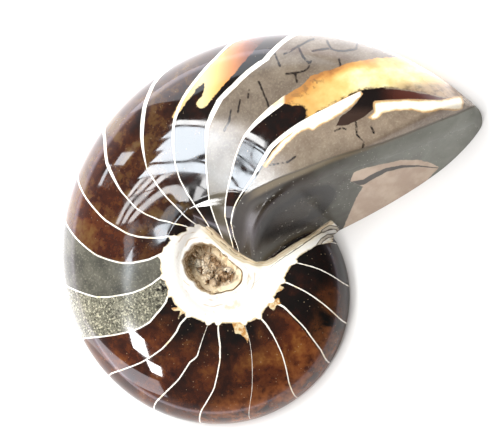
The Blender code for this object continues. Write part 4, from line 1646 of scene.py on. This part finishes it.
def build_floor():
    corners = [(x * FLOOR_REACH, y * FLOOR_REACH, 0.0) for x, y in ((-1, -1), (1, -1), (1, 1), (-1, 1))]
    mesh = bpy.data.meshes.new("floor")
    mesh.from_pydata(corners, [], [tuple(range(len(corners)))])
    material = bpy.data.materials.new("pale_floor")
    material.use_nodes = True
    shader = material.node_tree.nodes["Principled BSDF"]
    shader.inputs["Base Color"].default_value = FLOOR_COLOUR
    shader.inputs["Roughness"].default_value = FLOOR_ROUGHNESS
    mesh.materials.append(material)
    floor = add_object("floor", mesh)
    floor.location.z = -FLOOR_DROP * MM


def build_world():
    """A dim room with a bright, faintly lilac horizon, brightest on one side."""
    world = bpy.data.worlds.new("studio")
    bpy.context.scene.world = world
    world.use_nodes = True
    nodes, links = world.node_tree.nodes, world.node_tree.links
    direction = nodes.new("ShaderNodeTexCoord").outputs["Generated"]
    split = nodes.new("ShaderNodeSeparateXYZ")
    links.new(direction, split.inputs[0])
    fade = nodes.new("ShaderNodeValToRGB")
    fade.color_ramp.interpolation = "EASE"
    points = fade.color_ramp.elements
    points[0].position, points[0].color = ROOM_COLOURS[0]
    points[1].position, points[1].color = ROOM_COLOURS[-1]
    for position, colour in ROOM_COLOURS[1:-1]:
        points.new(position).color = colour
    links.new(split.outputs["Z"], fade.inputs["Fac"])
    side = nodes.new("ShaderNodeVectorMath")
    side.operation = "DOT_PRODUCT"
    links.new(direction, side.inputs[0])
    side.inputs[1].default_value = (math.cos(BRIGHT_SIDE), math.sin(BRIGHT_SIDE), 0.0)
    strength = nodes.new("ShaderNodeMapRange")
    links.new(side.outputs["Value"], strength.inputs["Value"])
    for name, value in zip(RANGE_INPUTS[1:], ROOM_SPAN):
        strength.inputs[name].default_value = value
    links.new(fade.outputs["Color"], nodes["Background"].inputs["Color"])
    links.new(strength.outputs["Result"], nodes["Background"].inputs["Strength"])


def build_lights():
    """The window with its blinds, the other panes, a softbox that isn't mirrored and the floor's glow."""
    for pane in WINDOW_PANES:
        add_pane(*pane)
    for column, (left, right) in enumerate(TOPLIGHT_COLUMNS):
        for row, (low, high) in TOPLIGHT_ROWS.items():
            add_pane(f"window_top_{column}_{row}", left, right, low, high, WINDOW_GLOW, SKY)
    add_pane(*LOW_PANE)
    for name, left, right, lowest, spacing, height, glow in BLINDS:
        for slat in range(BLIND_SLATS):
            low = lowest + spacing * slat
            add_pane(f"{name}_{slat}", left, right, low, low + height, glow)
    for pane in OTHER_PANES:
        add_pane(*pane)
    add_pane(*SOFTBOX).visible_glossy = False
    add_floor_glow()


def build_camera():
    camera = bpy.data.cameras.new("camera")
    camera.sensor_width = SENSOR_WIDTH
    camera.lens = camera.sensor_width * FOCAL_PIXELS / PHOTO_WIDTH
    made = add_object("camera", camera)
    axes = Matrix((CAMERA_RIGHT, CAMERA_UP, CAMERA_BACK)).transposed().to_4x4()
    made.matrix_world = Matrix.Translation((CAMERA_PLACE + AXIS_PLACE) * MM) @ axes
    bpy.context.scene.camera = made


def main():
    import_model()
    top = build_top()
    top.data.materials.append(polished_material())
    face = build_face()
    face.data.materials.append(sawn_material())
    crust = build_crust()
    crust.data.materials.append(crust_material())
    for piece in (top, face, crust):
        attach(piece, "root")
    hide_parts("nautilus_half")
    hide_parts("umbilical_crystals")
    build_floor()
    build_world()
    build_lights()
    build_camera()
    bpy.context.scene.view_settings.view_transform = "Standard"


main()
